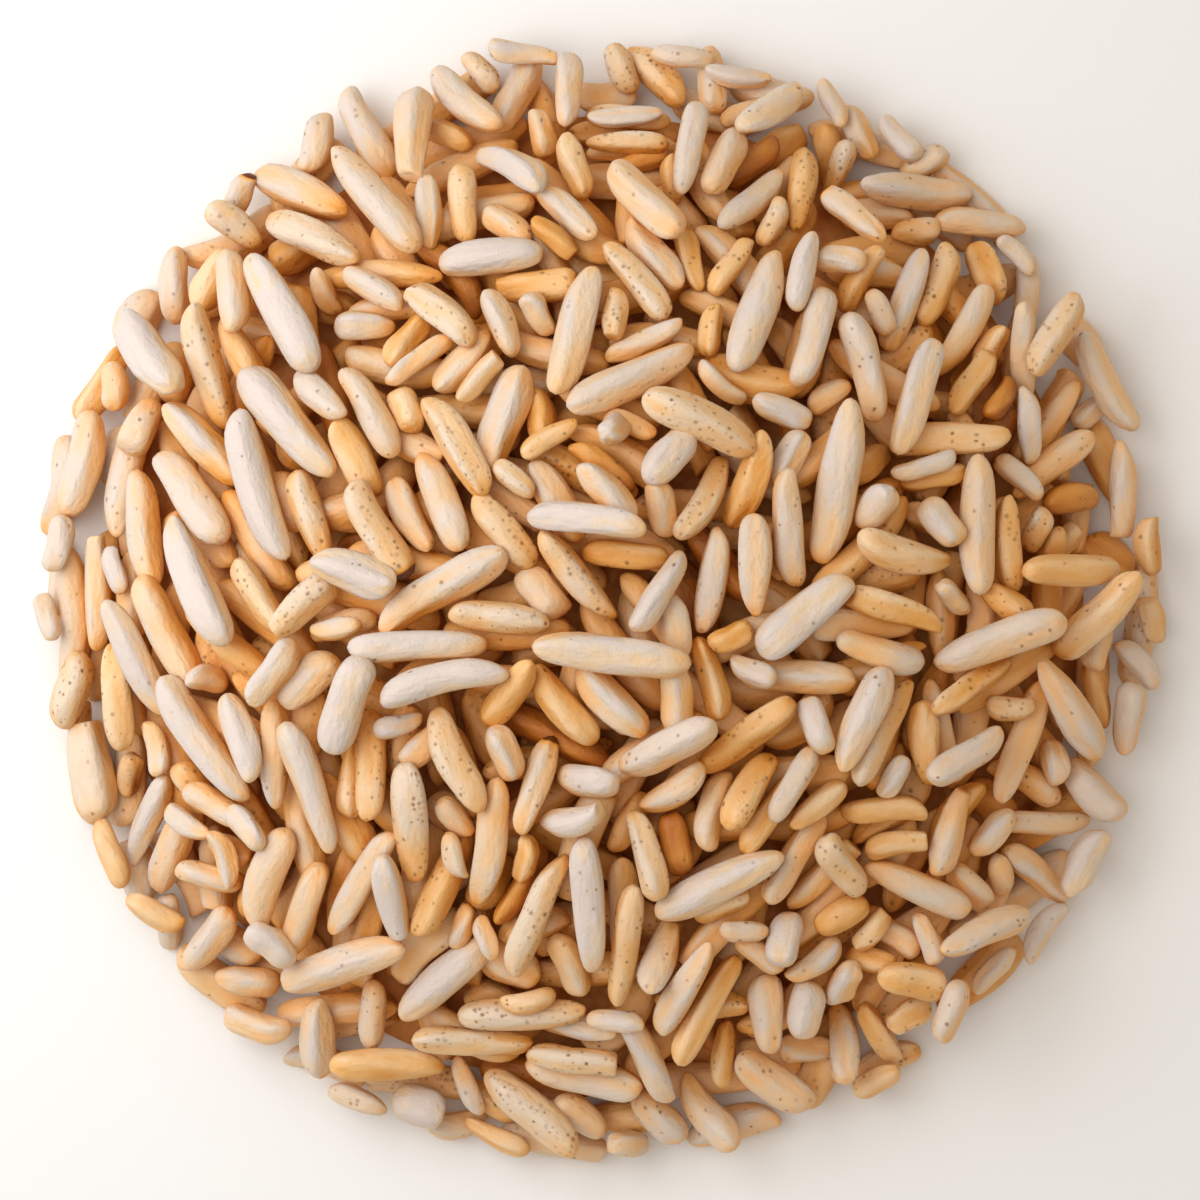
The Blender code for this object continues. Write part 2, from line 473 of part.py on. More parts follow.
def add_grain(name, grain, collection):
    """A spindle with few sides: a ball whose rings are moved onto the grain's own outline."""
    bm = bmesh.new()
    bmesh.ops.create_uvsphere(bm, u_segments=GRAIN_SIDES, v_segments=GRAIN_RINGS + 1, radius=1)
    for vert in bm.verts:
        u = vert.co.z
        if (grain.head < 1 and u > POLE_SIDE) or (grain.tail < 1 and u < -POLE_SIDE):
            u = math.copysign(1, u)
        ring = math.hypot(vert.co.x, vert.co.y)
        swell = float(grain.half_width(np.float64(u))) * FACET_SWELL / ring if ring > POLE_SIDE else 0
        sideways, up = grain.bow(u)
        local = (u * grain.length / 2, sideways + vert.co.x * swell, up + vert.co.y * swell)
        x, y, z = (row.item() for row in turned(local, np.array([grain.heading]), np.array([grain.pitch])))
        vert.co = (x + grain.x, y + grain.y, max(z + grain.z - PRESSED_IN, 0))
    return mesh_object(name, bm, collection)


def add_core(heap, collection):
    """The core: a chain of edges spun into a disc, lifted to just under the grains, on a flat foot."""
    bm = bmesh.new()
    chain = [bm.verts.new((CORE_RADIUS * ring / CORE_RINGS, 0, 0)) for ring in range(CORE_RINGS + 1)]
    edges = [bm.edges.new(pair) for pair in zip(chain, chain[1:])]
    bmesh.ops.spin(
        bm,
        geom=chain + edges,
        cent=(0, 0, 0),
        axis=(0, 0, 1),
        angle=2 * math.pi,
        steps=CORE_SIDES,
        use_merge=True,
    )
    bmesh.ops.remove_doubles(bm, verts=bm.verts, dist=SAME_PLACE)
    for vert in bm.verts:
        angle = math.atan2(vert.co.y, vert.co.x)
        wave = 1 + CORE_WAVE * math.cos(CORE_WAVES * angle)
        vert.co = (vert.co.x * wave, vert.co.y * wave, 0)
        vert.co.z = heap.core_height(vert.co.x, vert.co.y)
    side = bmesh.ops.extrude_edge_only(bm, edges=[edge for edge in bm.edges if edge.is_boundary])
    foot = [item for item in side["geom"] if isinstance(item, bmesh.types.BMVert)]
    for vert in foot:
        vert.co.z = 0
    bmesh.ops.holes_fill(bm, edges=[edge for edge in bm.edges if edge.is_boundary], sides=0)
    return mesh_object("core", bm, collection)


def shells(bm):
    """The separate closed surfaces in a bmesh, as lists of vertices."""
    left = set(bm.verts)
    while left:
        shell = []
        reached = [left.pop()]
        while reached:
            vert = reached.pop()
            shell.append(vert)
            near = {edge.other_vert(vert) for edge in vert.link_edges} & left
            left -= near
            reached.extend(near)
        yield shell


def fuse(name, core, grains):
    """Joins the grains to the core, and drops the hollows that this seals and the scraps that it leaves."""
    union = core.modifiers.new("grains", "BOOLEAN")
    union.operation = "UNION"
    union.solver = "EXACT"
    union.operand_type = "COLLECTION"
    union.collection = grains
    bpy.context.view_layer.update()
    joined = core.evaluated_get(bpy.context.evaluated_depsgraph_get())
    bm = bmesh.new()
    bm.from_mesh(joined.to_mesh())
    for shell in sorted(shells(bm), key=len)[:-1]:
        bmesh.ops.delete(bm, geom=shell, context="VERTS")
    bmesh.ops.triangulate(bm, faces=bm.faces)
    for obj in [*grains.objects, core]:
        bpy.data.objects.remove(obj)
    bpy.data.collections.remove(grains)
    return mesh_object(name, bm, bpy.context.scene.collection)


def cream_material():
    """Puffed rice: toasted cream with a faint dry sheen."""
    material = bpy.data.materials.new("toasted puffed rice")
    material.use_nodes = True
    shader = material.node_tree.nodes["Principled BSDF"]
    shader.inputs["Base Color"].default_value = CREAM
    shader.inputs["Roughness"].default_value = CREAM_ROUGHNESS
    shader.inputs["Metallic"].default_value = 0.0
    return material


def main():
    for obj in list(bpy.data.objects):
        bpy.data.objects.remove(obj)
    heap = lay_heap()
    grains = bpy.data.collections.new("grains")
    bpy.context.scene.collection.children.link(grains)
    for index, grain in enumerate(heap.shown(GRAINS_SHOWN)):
        add_grain(f"grain_{index}", grain, grains)
    core = add_core(heap, bpy.context.scene.collection)
    puffed_rice = fuse("puffed_rice", core, grains)
    puffed_rice.data.materials.append(cream_material())


main()
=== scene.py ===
import math

import bmesh
import bpy
import numpy as np
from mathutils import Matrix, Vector


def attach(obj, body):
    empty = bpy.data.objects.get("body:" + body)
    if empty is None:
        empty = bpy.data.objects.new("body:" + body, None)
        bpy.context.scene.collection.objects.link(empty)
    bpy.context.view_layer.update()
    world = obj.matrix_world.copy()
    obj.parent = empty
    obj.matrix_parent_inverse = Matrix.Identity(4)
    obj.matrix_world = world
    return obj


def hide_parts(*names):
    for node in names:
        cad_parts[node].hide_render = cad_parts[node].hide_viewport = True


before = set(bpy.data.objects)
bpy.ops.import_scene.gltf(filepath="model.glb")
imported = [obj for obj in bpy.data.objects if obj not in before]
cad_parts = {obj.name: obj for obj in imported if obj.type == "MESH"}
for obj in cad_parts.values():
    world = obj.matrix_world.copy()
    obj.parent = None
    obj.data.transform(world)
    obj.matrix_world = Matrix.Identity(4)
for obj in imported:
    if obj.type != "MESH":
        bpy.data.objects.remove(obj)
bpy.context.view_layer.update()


# The inside of the heap. Below its outer layers of loose grains the heap is one mass of the same puffed
# rice, seen only in deep gaps, where its brown is painted shade. It is a lumpy mound on a flat foot.
MM = 0.001
HEAP_RADIUS = 46.4 * MM
HEAP_HEIGHT = 20 * MM
RIM_HEIGHT = 5.2 * MM
DOME_FLATNESS = 2.6
DOME_FALL = 0.85
LOOSE_DEPTH = 7.5 * MM

CORE_RADIUS = 39.5 * MM
CORE_RINGS = 40
CORE_SIDES = 120
CORE_LOWEST = 0.5 * MM
CORE_LUMP = 1.0 * MM
CORE_LUMP_SPACING = 3.2 * MM
CORE_LUMP_STRETCH = 1.7  # how much further apart the lumps lie along Y
WAVE_BEND = 2  # how far the waves of lumps wander, in radians
WAVE_BEND_SPACINGS = (3, 4)  # over how many lumps the first and the second of them do so
SAME_PLACE = 0.01 * MM
# The browns of the deep gaps are painted shade, for the same rice out of the light.
GAP_PAINTED_SHADE_COLOURS = ((0.35, "#c0702a"), (0.7, "#e0a05a"))
GAP_MOTTLE = 2 * MM
GAP_MOTTLE_DETAIL = 2.0
GAP_ROUGHNESS = 0.7


def skin_height(x, y):
    """Height of the heap's upper side: a flat-topped dome that ends one grain high."""
    out = np.minimum(np.hypot(x, y) / HEAP_RADIUS, 1)
    dome = HEAP_HEIGHT * (1 - out**DOME_FLATNESS) ** DOME_FALL
    return np.where(out < 1, np.maximum(dome, RIM_HEIGHT), 0)


def lumps(x, y):
    """Height of the lumps on the inside of the heap: two trains of waves that bend and cross."""
    turn = 2 * math.pi / CORE_LUMP_SPACING
    first_bend, second_bend = WAVE_BEND_SPACINGS
    first = np.sin(turn * x + WAVE_BEND * np.sin(turn * y / first_bend))
    second = np.sin(turn * y / CORE_LUMP_STRETCH + WAVE_BEND * np.sin(turn * x / second_bend))
    return CORE_LUMP * (first * second - 1)


def linear(hex_colour):
    """An sRGB hex colour as linear RGBA."""
    channels = [int(hex_colour[i : i + 2], 16) / 255 for i in (1, 3, 5)]
    return tuple(c / 12.92 if c <= 0.04045 else ((c + 0.055) / 1.055) ** 2.4 for c in channels) + (1.0,)


def new_material(name):
    """A node material and its Principled shader."""
    material = bpy.data.materials.new(name)
    material.use_nodes = True
    return material, material.node_tree.nodes["Principled BSDF"]


def add_node(owner, kind, settings, inputs):
    """Adds a node to a material or the room. Each input gets its value or the socket that feeds it."""
    node = owner.node_tree.nodes.new(kind)
    for name, value in settings.items():
        setattr(node, name, value)
    for name, value in inputs.items():
        if isinstance(value, bpy.types.NodeSocket):
            owner.node_tree.links.new(value, node.inputs[name])
        else:
            node.inputs[name].default_value = value
    return node


def set_ramp(node, stops):
    """Gives a colour ramp its stops: position and hex colour."""
    elements = node.color_ramp.elements
    while len(elements) < len(stops):
        elements.new(1.0)
    for element, (position, colour) in zip(elements, stops):
        element.position = position
        element.color = linear(colour)


def finish_piece(piece, material):
    """Gives a piece of the heap its material and smooth shading, and ties it to the part."""
    piece.data.materials.append(material)
    piece.data.shade_smooth()
    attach(piece, "root")
    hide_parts("puffed_rice")


bm = bmesh.new()
chain = [bm.verts.new((CORE_RADIUS * ring / CORE_RINGS, 0, 0)) for ring in range(CORE_RINGS + 1)]
edges = [bm.edges.new(pair) for pair in zip(chain, chain[1:])]
spun = {"cent": (0, 0, 0), "axis": (0, 0, 1), "angle": 2 * math.pi, "steps": CORE_SIDES, "use_merge": True}
bmesh.ops.spin(bm, geom=chain + edges, **spun)
bmesh.ops.remove_doubles(bm, verts=bm.verts, dist=SAME_PLACE)
for vert in bm.verts:
    x, y, _ = vert.co
    vert.co.z = max(float(skin_height(x, y)) - LOOSE_DEPTH + float(lumps(x, y)), CORE_LOWEST)
side = bmesh.ops.extrude_edge_only(bm, edges=[edge for edge in bm.edges if edge.is_boundary])
for item in side["geom"]:
    if isinstance(item, bmesh.types.BMVert):
        item.co.z = 0
bmesh.ops.holes_fill(bm, edges=[edge for edge in bm.edges if edge.is_boundary], sides=0)
bmesh.ops.recalc_face_normals(bm, faces=bm.faces)
core_mesh = bpy.data.meshes.new("core")
bm.to_mesh(core_mesh)
bm.free()
core = bpy.data.objects.new("core", core_mesh)
bpy.context.scene.collection.objects.link(core)

# Rice deep in the gaps: matt, brown as painted shade, and mottled as the grains under the ones that show.
core_material, shader = new_material("toasted rice in shadow")
place = add_node(core_material, "ShaderNodeTexCoord", {}, {}).outputs["Object"]
inputs = {"Vector": place, "Scale": 1 / GAP_MOTTLE, "Detail": GAP_MOTTLE_DETAIL}
mottle = add_node(core_material, "ShaderNodeTexNoise", {}, inputs)
browns = add_node(core_material, "ShaderNodeValToRGB", {}, {"Fac": mottle.outputs["Fac"]})
set_ramp(browns, GAP_PAINTED_SHADE_COLOURS)
core_material.node_tree.links.new(browns.outputs["Color"], shader.inputs["Base Color"])
shader.inputs["Roughness"].default_value = GAP_ROUGHNESS
finish_piece(core, core_material)


# The loose grains. Puffed rice is poured, so they lie crossed, leaning and with gaps, and no two are alike.
# Each rests where, of the places tried, it lies lowest on those below: a bed first, then the grains that
# show, at places of their own, then more round them, and at last small ones that slip into the gaps.
RAGGED_RIM = 1.4 * MM
GRAIN_LENGTH = 9.1 * MM
GRAIN_LENGTH_SPREAD = 1.9 * MM
SHORTEST_GRAIN = 4.8 * MM
LONGEST_GRAIN = 13.5 * MM
GRAIN_WIDTH = 3.1 * MM
GRAIN_WIDTH_SPREAD = 0.32 * MM
NARROWEST_GRAIN = 2.5 * MM
WIDEST_GRAIN = 4.1 * MM
WIDTH_PER_LENGTH = 0.04
BEND_SPREAD = 0.055
STRONG_BEND = 0.12
CUT_KEEPS = (0.55, 0.8)
CUT_SHARE = 0.22
CUT_TWICE_SHARE = 0.07
BENT_SHARES = (0.8, 0.88)
STUB_SHARE = 0.07
STUB_LENGTHS = (4.4, 6.0)
STUB_WIDTHS = (3.2, 3.8)
BIT_LENGTHS = (3.8, 6.4)
BIT_WIDTHS = (1.9, 2.5)
NOSE_POWERS = (2.4, 4.4)
NOSE_ROUNDING = 0.54
MEAN_SQUARE = 1 / 3

SEED = 12
BED_DEPTH = 3.6 * MM
BED_ROOM = -1.4 * MM
LAST_DEPTH = 1.6 * MM
HIGHEST_BUMP = 1.1 * MM
BIT_DEPTH = 1.3 * MM
BIT_BUMP = 0.35 * MM
TRIES = 480
MOST_MISSES = 900
MISS_COST = 0.5 * MM
LEVEL_NOISE = 0.6 * MM
PLACE_SPREAD = 2.6 * MM
PITCH_SPREAD = 0.33
PITCH_COST = 0.6 * MM
BEDDED_IN = 0.4 * MM
PAST_RIM_COST = 40
PAST_RIM_MOST = 0.3 * MM
ALIKE_SCATTER = 0.55
TRY_SCATTER = 0.3
RIM_TRY_SCATTER = 1.2
RIM_FROM = HEAP_RADIUS - 6 * MM

CELL = 0.4 * MM
MAP_REACH = HEAP_RADIUS + 3 * MM
PATCH = 8
BIT_PATCH = 4
COST_DIGITS = 8

# Which way most grains lie round each place: x and y in mm, heading in degrees from +X.
LIES = (
    (-40, 8, 108),
    (-30, 26, 132),
    (-12, 36, 128),
    (12, 36, 120),
    (30, 30, 35),
    (36, 12, 55),
    (24, 12, 75),
    (38, -12, 150),
    (24, -12, 40),
    (-4, 10, 150),
    (-14, 2, 20),
    (4, -4, 172),
    (-34, -16, 118),
    (-24, -30, 65),
    (-4, -24, 80),
    (6, -34, 152),
    (22, -32, 60),
)
LIE_REACH = 9 * MM

# The grains that show, each measured: x and y in mm, heading in degrees, length and width in mm.
# A cut or scorched end is at the heading, and the middle of a bent one stands out to its left.
# First those that lie under others.
GRAINS_UNDER = {
    "amber": (
        (0.6, 10.9, 140, 6.4, 2.4), (12, 35, 38, 6, 2.4), (38.2, 8.3, 5, 5.5, 2.9),
        (-6.5, -23, 60, 7.5, 2.3), (6.3, -19.4, 100, 5.4, 2.8),
    ),
    "tan": (
        (9.2, -6, 106, 7, 2.2), (-2.7, -8.2, 133, 8, 2.8), (-6.9, -7.3, 52, 7.5, 2.6),
        (2.3, 3.8, 173, 7.2, 2.6), (-19.5, 11.4, 118, 7, 2.8), (-31.2, 26.3, 65, 5.5, 3),
        (-29, 20, 120, 7, 2.6), (-11.3, 32.2, 93, 6.8, 2.3), (-12, 37.3, 155, 4.5, 2.2),
        (-15.6, 20.7, 50, 6, 2.4), (-15.7, 15, 110, 3.8, 2.6), (7.6, 27, 105, 5.8, 2.1),
        (8.7, 21.2, 80, 4.5, 2), (2.6, 38.9, 176, 7, 2.3), (3.6, 35.5, 15, 4.5, 1.9),
        (18.9, 36.2, 97, 5.5, 2.5), (20.9, 26.3, 60, 6.3, 2.4), (31.7, 20.6, 60, 4.5, 2.2),
        (29.7, 17.2, 50, 6.5, 2.4), (28.3, 13.2, 178, 10, 2.9), (27, 10.2, 8, 5.5, 2.2),
        (26.3, -11.4, 97, 7.2, 2.6), (40.4, -7.8, 100, 6, 2.1), (-20.2, -14.8, 85, 6, 2.2),
        (2.1, -27.8, 82, 11, 2.6), (13.1, -16.8, 55, 8, 2.4), (10, -24.7, 20, 5, 2.3),
        (-8.8, -40.7, 145, 5.5, 1.9), (9.8, -37, 82, 6, 2.1), (19.3, -25.5, 28, 4.8, 2.4),
        (22.2, -29, 165, 4.2, 2.2), (23, -35.3, 125, 6.5, 2.5), (24.7, -33.8, 20, 4, 2.7),
    ),
    "tan cut": ((-4.6, 25, 188, 6.5, 3.1),),
    "tan bent": ((-30, -3.5, 140, 9, 2.6),),
    "tan speckled": (
        (4.9, 42.4, 133, 7.5, 2.9), (5.6, 34, 90, 4.5, 2.2), (10.5, 26.6, 51, 5.8, 2.1),
        (27.7, 25.3, 70, 7.4, 2.6), (31.7, 26.8, 112, 5.5, 2.8), (33, 4.8, 95, 8, 2.4),
        (33, 0.2, 150, 4.5, 2.6),
    ),
    "cream": (
        (-3.3, 8.2, 118, 7.5, 2.9), (0.6, 8.8, 133, 6.5, 3), (4.9, 7.4, 95, 5, 2.7),
        (-4.9, 0.3, 125, 5, 2.8), (-42.8, -1.5, 90, 12, 2.9), (-42.4, 11, 75, 9, 3),
        (-33.2, 8.2, 126, 10.3, 3.3), (-15.6, 7, 118, 7, 2.6), (-29.8, 25, 95, 8, 2.8),
        (-24.2, 32.9, 154, 9.6, 3.2), (-23.4, 36.8, 80, 5.5, 2.8), (-34.4, 25.3, 92, 6.5, 2.5),
        (-13.6, 30.9, 91, 6.3, 2.3), (-18.6, 15.3, 118, 8.5, 2.6), (-22.5, 16, 133, 7, 2.6),
        (-6.6, 41.3, 62, 8, 2.7), (-4.8, 37.8, 100, 4.2, 2.4), (-2.2, 30.8, 132, 7, 2.3),
        (-7.6, 30.3, 150, 5.2, 2.4), (4.3, 28, 132, 7.5, 2.6), (3.6, 21, 20, 7, 2.3),
        (8.8, 42, 92, 6, 2.4), (9.6, 35.6, 68, 6.8, 2.7), (20.9, 37.8, 110, 5, 2.2),
        (19.6, 27.6, 168, 4.2, 2.5), (34.5, 25.7, 85, 6, 2.4), (33.9, 19.8, 95, 9.6, 2.4),
        (42.5, -9.3, 80, 6, 2.6), (-31.3, -16.7, 150, 6.2, 2.5), (-29.6, -19.9, 160, 3.8, 2.3),
        (-31.5, -27.4, 52, 7, 2.8), (-25.8, -12.5, 90, 9, 2.6), (-26.8, -22.3, 68, 9.2, 3.2),
        (-24, -25, 74, 8.8, 2.8), (-14, -11.2, 40, 5, 2.6), (-19.6, -22.3, 62, 10.8, 2.6),
        (-29, -31, 172, 5.5, 2.8), (-18.7, -33.3, 88, 6, 2.3), (-7.8, -11.8, 105, 4.8, 2.7),
        (2.6, -17.5, 62, 5.5, 2.3), (9.2, -16.9, 72, 6.8, 2.6), (12.5, -28.1, 147, 4.6, 2),
        (4.5, -42.2, 130, 5.8, 2.9), (16.4, -36.7, 178, 4.6, 2.5), (15.2, -14.8, 56, 7, 2.3),
        (15.8, -20.8, 58, 8.8, 2.6), (29.8, -23.2, 135, 4.8, 2.6), (24.3, -27.3, 150, 4.6, 2.4),
        (26.2, -27.5, 115, 4.5, 1.9),
    ),
    "cream scorched": ((-29.1, 33, 70, 4.2, 2.4),),
    "speckled": (
        (-7.6, 5.2, 130, 7.5, 2.8), (-29.9, 30.4, 140, 5.6, 2.7), (1.8, 42.9, 110, 4.5, 2.4),
        (12.2, 40, 20, 5, 2), (26.3, 35.3, 30, 4.5, 2.5), (-10.2, -36, 176, 10, 2.5),
        (19.3, -21.2, 130, 6.6, 2.8),
    ),
    "pale": (
        (6.2, -2.2, 108, 6, 2.9), (6, -7.5, 95, 7, 3), (0.6, -8.3, 130, 8, 3.2), (15.4, 11.2, 60, 5, 2.4),
        (5.5, 11.1, 48, 5.8, 3.2), (-32.1, 12.4, 132, 9.2, 3.1), (-23.5, -6.7, 40, 6, 3.2),
        (-19, 37.6, 122, 8.5, 3.2), (-18.5, 22, 175, 5, 2.6), (-11.2, 19.3, 52, 6.5, 2.8),
        (18, 16.4, 35, 4, 2.3), (39.8, 15.8, 40, 4.5, 1.9), (17.2, -10.3, 110, 5, 2.7),
        (40.6, -3.9, 72, 4.5, 2.5), (-36.8, -17.6, 64, 8.8, 2.4), (-28.3, -18.2, 135, 4.8, 2.2),
        (-26.6, -27.8, 140, 4.8, 2.6), (-23, -35.3, 93, 7.5, 3), (-2.6, -29, 112, 6, 2.7),
        (-1.2, -41.6, 140, 5.5, 2.5), (16.8, -33.2, 80, 4.9, 3),
    ),
    "pale cut": ((-40.6, 0.2, 95, 9.5, 2.5),),
}

GRAINS_OVER = {
    "tan": (
        (12.2, 9.5, 67, 8.7, 2.7), (-4.4, 14.5, 97, 5.2, 2.5), (-17.7, 25.9, 179, 11.6, 2.3),
        (-2.4, 34.6, 112, 5.8, 2.5), (24.4, 3.6, 166, 8.7, 2.8), (37.9, 2.2, 178, 9.4, 3),
        (29.7, -7.1, 33, 9.2, 2.4), (40, -0.9, 44, 10, 2.8), (-17.5, -37.3, 1, 9.5, 2.8),
        (8.8, -32.6, 60, 10.2, 2.3), (17.2, -16.7, 35, 5.8, 2.2), (23.1, -16.9, 7, 7, 2.3),
        (25.3, -30.6, 175, 5.8, 3.1),
    ),
    "tan cut": ((23.5, -1.1, 168, 8.1, 2.8),),
    "tan speckled": (
        (-27.4, -0.1, 127, 7.7, 2.6), (-39.3, -8, 93, 9, 2.7), (16.4, 33.5, 80, 8, 2.5),
        (-12.8, -22.5, 65, 10, 2.6), (11.5, -15.4, 62, 7.6, 2.8), (11.4, -10.8, 32, 9.6, 2.6),
    ),
    "cream": (
        (2.6, 17.2, 206, 11.4, 3.3), (-7.5, 14.1, 72, 9.2, 3), (-12.3, 7.8, 117, 8.8, 2.9),
        (9.3, 1.2, 82, 8.7, 2.8), (15, 6, 95, 10, 2.9), (-12.9, 1.2, 33, 12.2, 3.1),
        (-38.8, 10.3, 79, 11.2, 2.8), (-36.9, 6, 100, 10, 2.8), (-17.8, 32.2, 130, 12.6, 3.4),
        (-11, 40.2, 135, 8.5, 3.1), (-14.6, 18.9, 41, 6.5, 1.9), (-2.9, 41.4, 81, 7, 2.7),
        (-8.2, 21.8, 112, 6, 2.5), (3.3, 31.7, 136, 9, 3.1), (7.1, 36.8, 78, 9, 2.4),
        (25.5, 33.2, 179, 10.5, 3.1), (30.8, 30.4, 172, 8, 2.7), (16.8, 20.8, 75, 8.8, 2.7),
        (36.6, 14.7, 52, 8.6, 2.3), (30.5, 5.7, 91, 11.5, 2.9), (29.1, -12.7, 35, 7.9, 2.7),
        (34.1, -11.6, 69, 10.7, 3), (38.3, -8.8, 127, 10.9, 3.1), (-35, -20.5, 62, 7.9, 2.8),
        (-31.4, -22.2, 162, 5.8, 2.4), (-20.8, -29.2, 18, 11.9, 3.1), (-8.7, -19.3, 82, 11.2, 3.1),
        (5.5, -11.4, 30, 10, 3.1), (7, -30.8, 61, 9.8, 2.8), (13.3, -33.2, 93, 6.6, 2.9),
        (-1, -38.3, 167, 9.8, 3.2), (13.8, -39, 145, 7.8, 3), (25.2, -23.4, 152, 9.6, 2.9),
        (30.8, -27, 22, 9, 2.9), (28, -32.8, 70, 5.4, 2.5), (35.6, -22.2, 135, 8, 2.5),
        (35.8, -18, 177, 9.2, 2.3),
    ),
    "cream cut": (
        (-15, 37.8, 270, 9.2, 3.1), (42.2, 9, 268, 8, 2.6), (5.1, -29, 68, 6.4, 2.6),
        (27.8, -18.6, 80, 7.3, 2.5),
    ),
    "cream bent": ((21.6, 19, 282, 9.2, 2.9), (32.3, -3.5, 24, 11.3, 3.1)),
    "cream scorched": ((20.2, 30.7, 138, 7.2, 2.4), (-5.3, -14.4, 72, 8.4, 2.5), (20, -36, 95, 7.6, 2.6)),
    "cream on end": ((36.9, 10.6, 120, 4.6, 2.7),),
    "speckled": (
        (8, 8.4, 66, 8.4, 2.7), (-11.2, 12.4, 119, 9.6, 2.9), (-2.2, 1.6, 131, 9.4, 2.7),
        (-7.8, -1.5, 170, 8.3, 2.9), (-31.4, 18.9, 107, 10.7, 2.9), (-23.5, 6.4, 113, 7.9, 2.7),
        (-22.8, 29.2, 156, 10.2, 3.2), (3.1, 25.8, 130, 8, 2.4), (2.1, 36.8, 3, 6.8, 1.9),
        (36.5, 21.6, 58, 8, 2.6), (22.7, -10.8, 61, 9.9, 2.7), (-18.7, -13.5, 90, 9, 2.8),
        (-11.3, -13, 118, 9.2, 3), (-15.3, -17.5, 95, 10.3, 3.1), (-5.3, -24.9, 63, 11, 2.7),
        (4.2, -20.5, 104, 7.6, 2.6), (-6.5, -33.7, 178, 10.5, 2.7), (-5.2, -41.4, 142, 10, 3.2),
    ),
    "speckled cut": ((-23.7, -0.2, 217, 7.2, 2.7),),
    "speckled bent": ((7.8, 14.2, 332, 10, 3.1), (-12.6, 22.9, 320, 7.6, 2.8)),
    "speckled scorched": ((-17.4, 5.8, 304, 9, 3.1),),
    "pale": (
        (-1.2, 6.7, 175, 10.3, 2.9), (4.9, 0.3, 57, 7.7, 2.2), (-14.6, -3.4, 4, 11.3, 2.8),
        (-12.5, -6, 11, 10.6, 2.9), (1.2, -4.6, 175, 12.8, 3.4), (-35.8, 19.6, 128, 10.5, 3.8),
        (-32.3, 1.7, 114, 12.6, 3.5), (-24.8, 14.4, 127, 12, 3.6), (-34.9, -2.4, 115, 10.3, 3.1),
        (-37.7, -5, 117, 10.7, 2.6), (-25.7, -5.6, 54, 6.4, 2.9), (-20.2, -8.1, 80, 8.5, 3.6),
        (-32, -11.4, 122, 12.4, 3.3), (-28.5, -11, 110, 7.8, 2.8), (-25.3, 23, 120, 12.3, 3.7),
        (-8.6, 27.6, 5, 8.7, 2.9), (-1.7, 21.8, 75, 11.2, 2.9), (13.9, 39.2, 32, 7.4, 2.6),
        (12, 31.8, 42, 8.6, 2.5), (12.2, 23, 69, 11.4, 3.2), (16.4, 26.4, 80, 6.8, 2.4),
        (24.8, 24, 72, 9, 2.5), (29.6, 21.5, 62, 8.6, 2.6), (14.6, 14.8, 157, 5.2, 2.5),
        (25.6, 16.6, 70, 10.2, 3), (22, 7.1, 60, 4.8, 3), (27.3, 5.9, 125, 4.6, 2.6),
        (18.7, 9.7, 83, 13.7, 3.6), (22.5, -4.1, 161, 7.9, 2.6), (16, -0.9, 38, 9.6, 3.5),
        (15.9, -6.4, 178, 9.6, 2.8), (20.6, -9.4, 67, 9.2, 3.1), (-23.3, -15, 110, 11.4, 3),
        (-12.4, -30.2, 38, 10.5, 3.2), (-1, -14.2, 176, 6.3, 2.9), (-1, -24.3, 98, 11.6, 3.1),
        (9.4, -22.5, 28, 11.6, 2.9), (14.6, -27.3, 75, 4.8, 2.9),
    ),
    "pale cut": ((-17.2, -23.8, 282, 7.6, 2.8), (-2.4, -17.7, 8, 6, 2.7), (3.7, -37.5, 118, 8.2, 2.7)),
    "pale bent": ((-27.3, 9.2, 104, 12.9, 3.4), (-19.3, 2.4, 335, 7.4, 3.2), (-6.8, 34.6, 332, 8.3, 2.9)),
    "pale on end": ((1.3, 13.2, 40, 5, 2.7), (19.8, -30.7, 60, 4.6, 2.7), (32.5, -22.6, 110, 4.2, 2.1)),
}
SHOWN_BEND = 0.055
ON_END_PITCH = 1.2
SHOWN_TRIES = 160
SHOWN_PLACE_SPREAD = 0.35 * MM
SHOWN_HEADING_SPREAD = 0.05
SHOWN_PITCH_SPREAD = 0.22


class Grain:
    """One puffed grain: a blunt spindle that may be bent and may be broken off at an end."""

    def __init__(self, length, width, bend, bend_side, noses, tail, head, look=""):
        self.length = length
        self.width = width
        self.bend = bend
        self.bend_side = bend_side
        self.noses = noses
        self.tail = tail
        self.head = head
        self.look = look
        self.x = self.y = self.z = self.heading = self.pitch = 0.0

    def half_width(self, u):
        """Half of its width at u, which runs from -1 at the tail to 1 at the head."""
        spindle = np.abs(np.where(u < 0, u * self.tail, u * self.head))
        return self.width / 2 * (1 - spindle ** np.where(u < 0, *self.noses)) ** NOSE_ROUNDING

    def bow(self, u):
        """How far the bend moves its middle line sideways and up at u."""
        off = self.bend * self.length * (MEAN_SQUARE - u**2)
        return off * math.cos(self.bend_side), off * math.sin(self.bend_side)

    def side_points(self, along, across, side):
        """Points on its underside (side -1) or upper side (side 1), before it is turned."""
        u, v = (values.ravel() for values in np.meshgrid(along, across, indexing="ij"))
        sideways, up = self.bow(u)
        radius = self.half_width(u)
        return u * self.length / 2, sideways + v * radius, up + side * np.sqrt(1 - v**2) * radius


def turned(points, heading, pitch):
    """The points turned by each heading and pitch, in a row for each."""
    along, across, up = points
    cos_h, sin_h = np.cos(heading)[:, None], np.sin(heading)[:, None]
    cos_p, sin_p = np.cos(pitch)[:, None], np.sin(pitch)[:, None]
    level = cos_p * along - sin_p * up
    return cos_h * level - sin_h * across, sin_h * level + cos_h * across, sin_p * along + cos_p * up


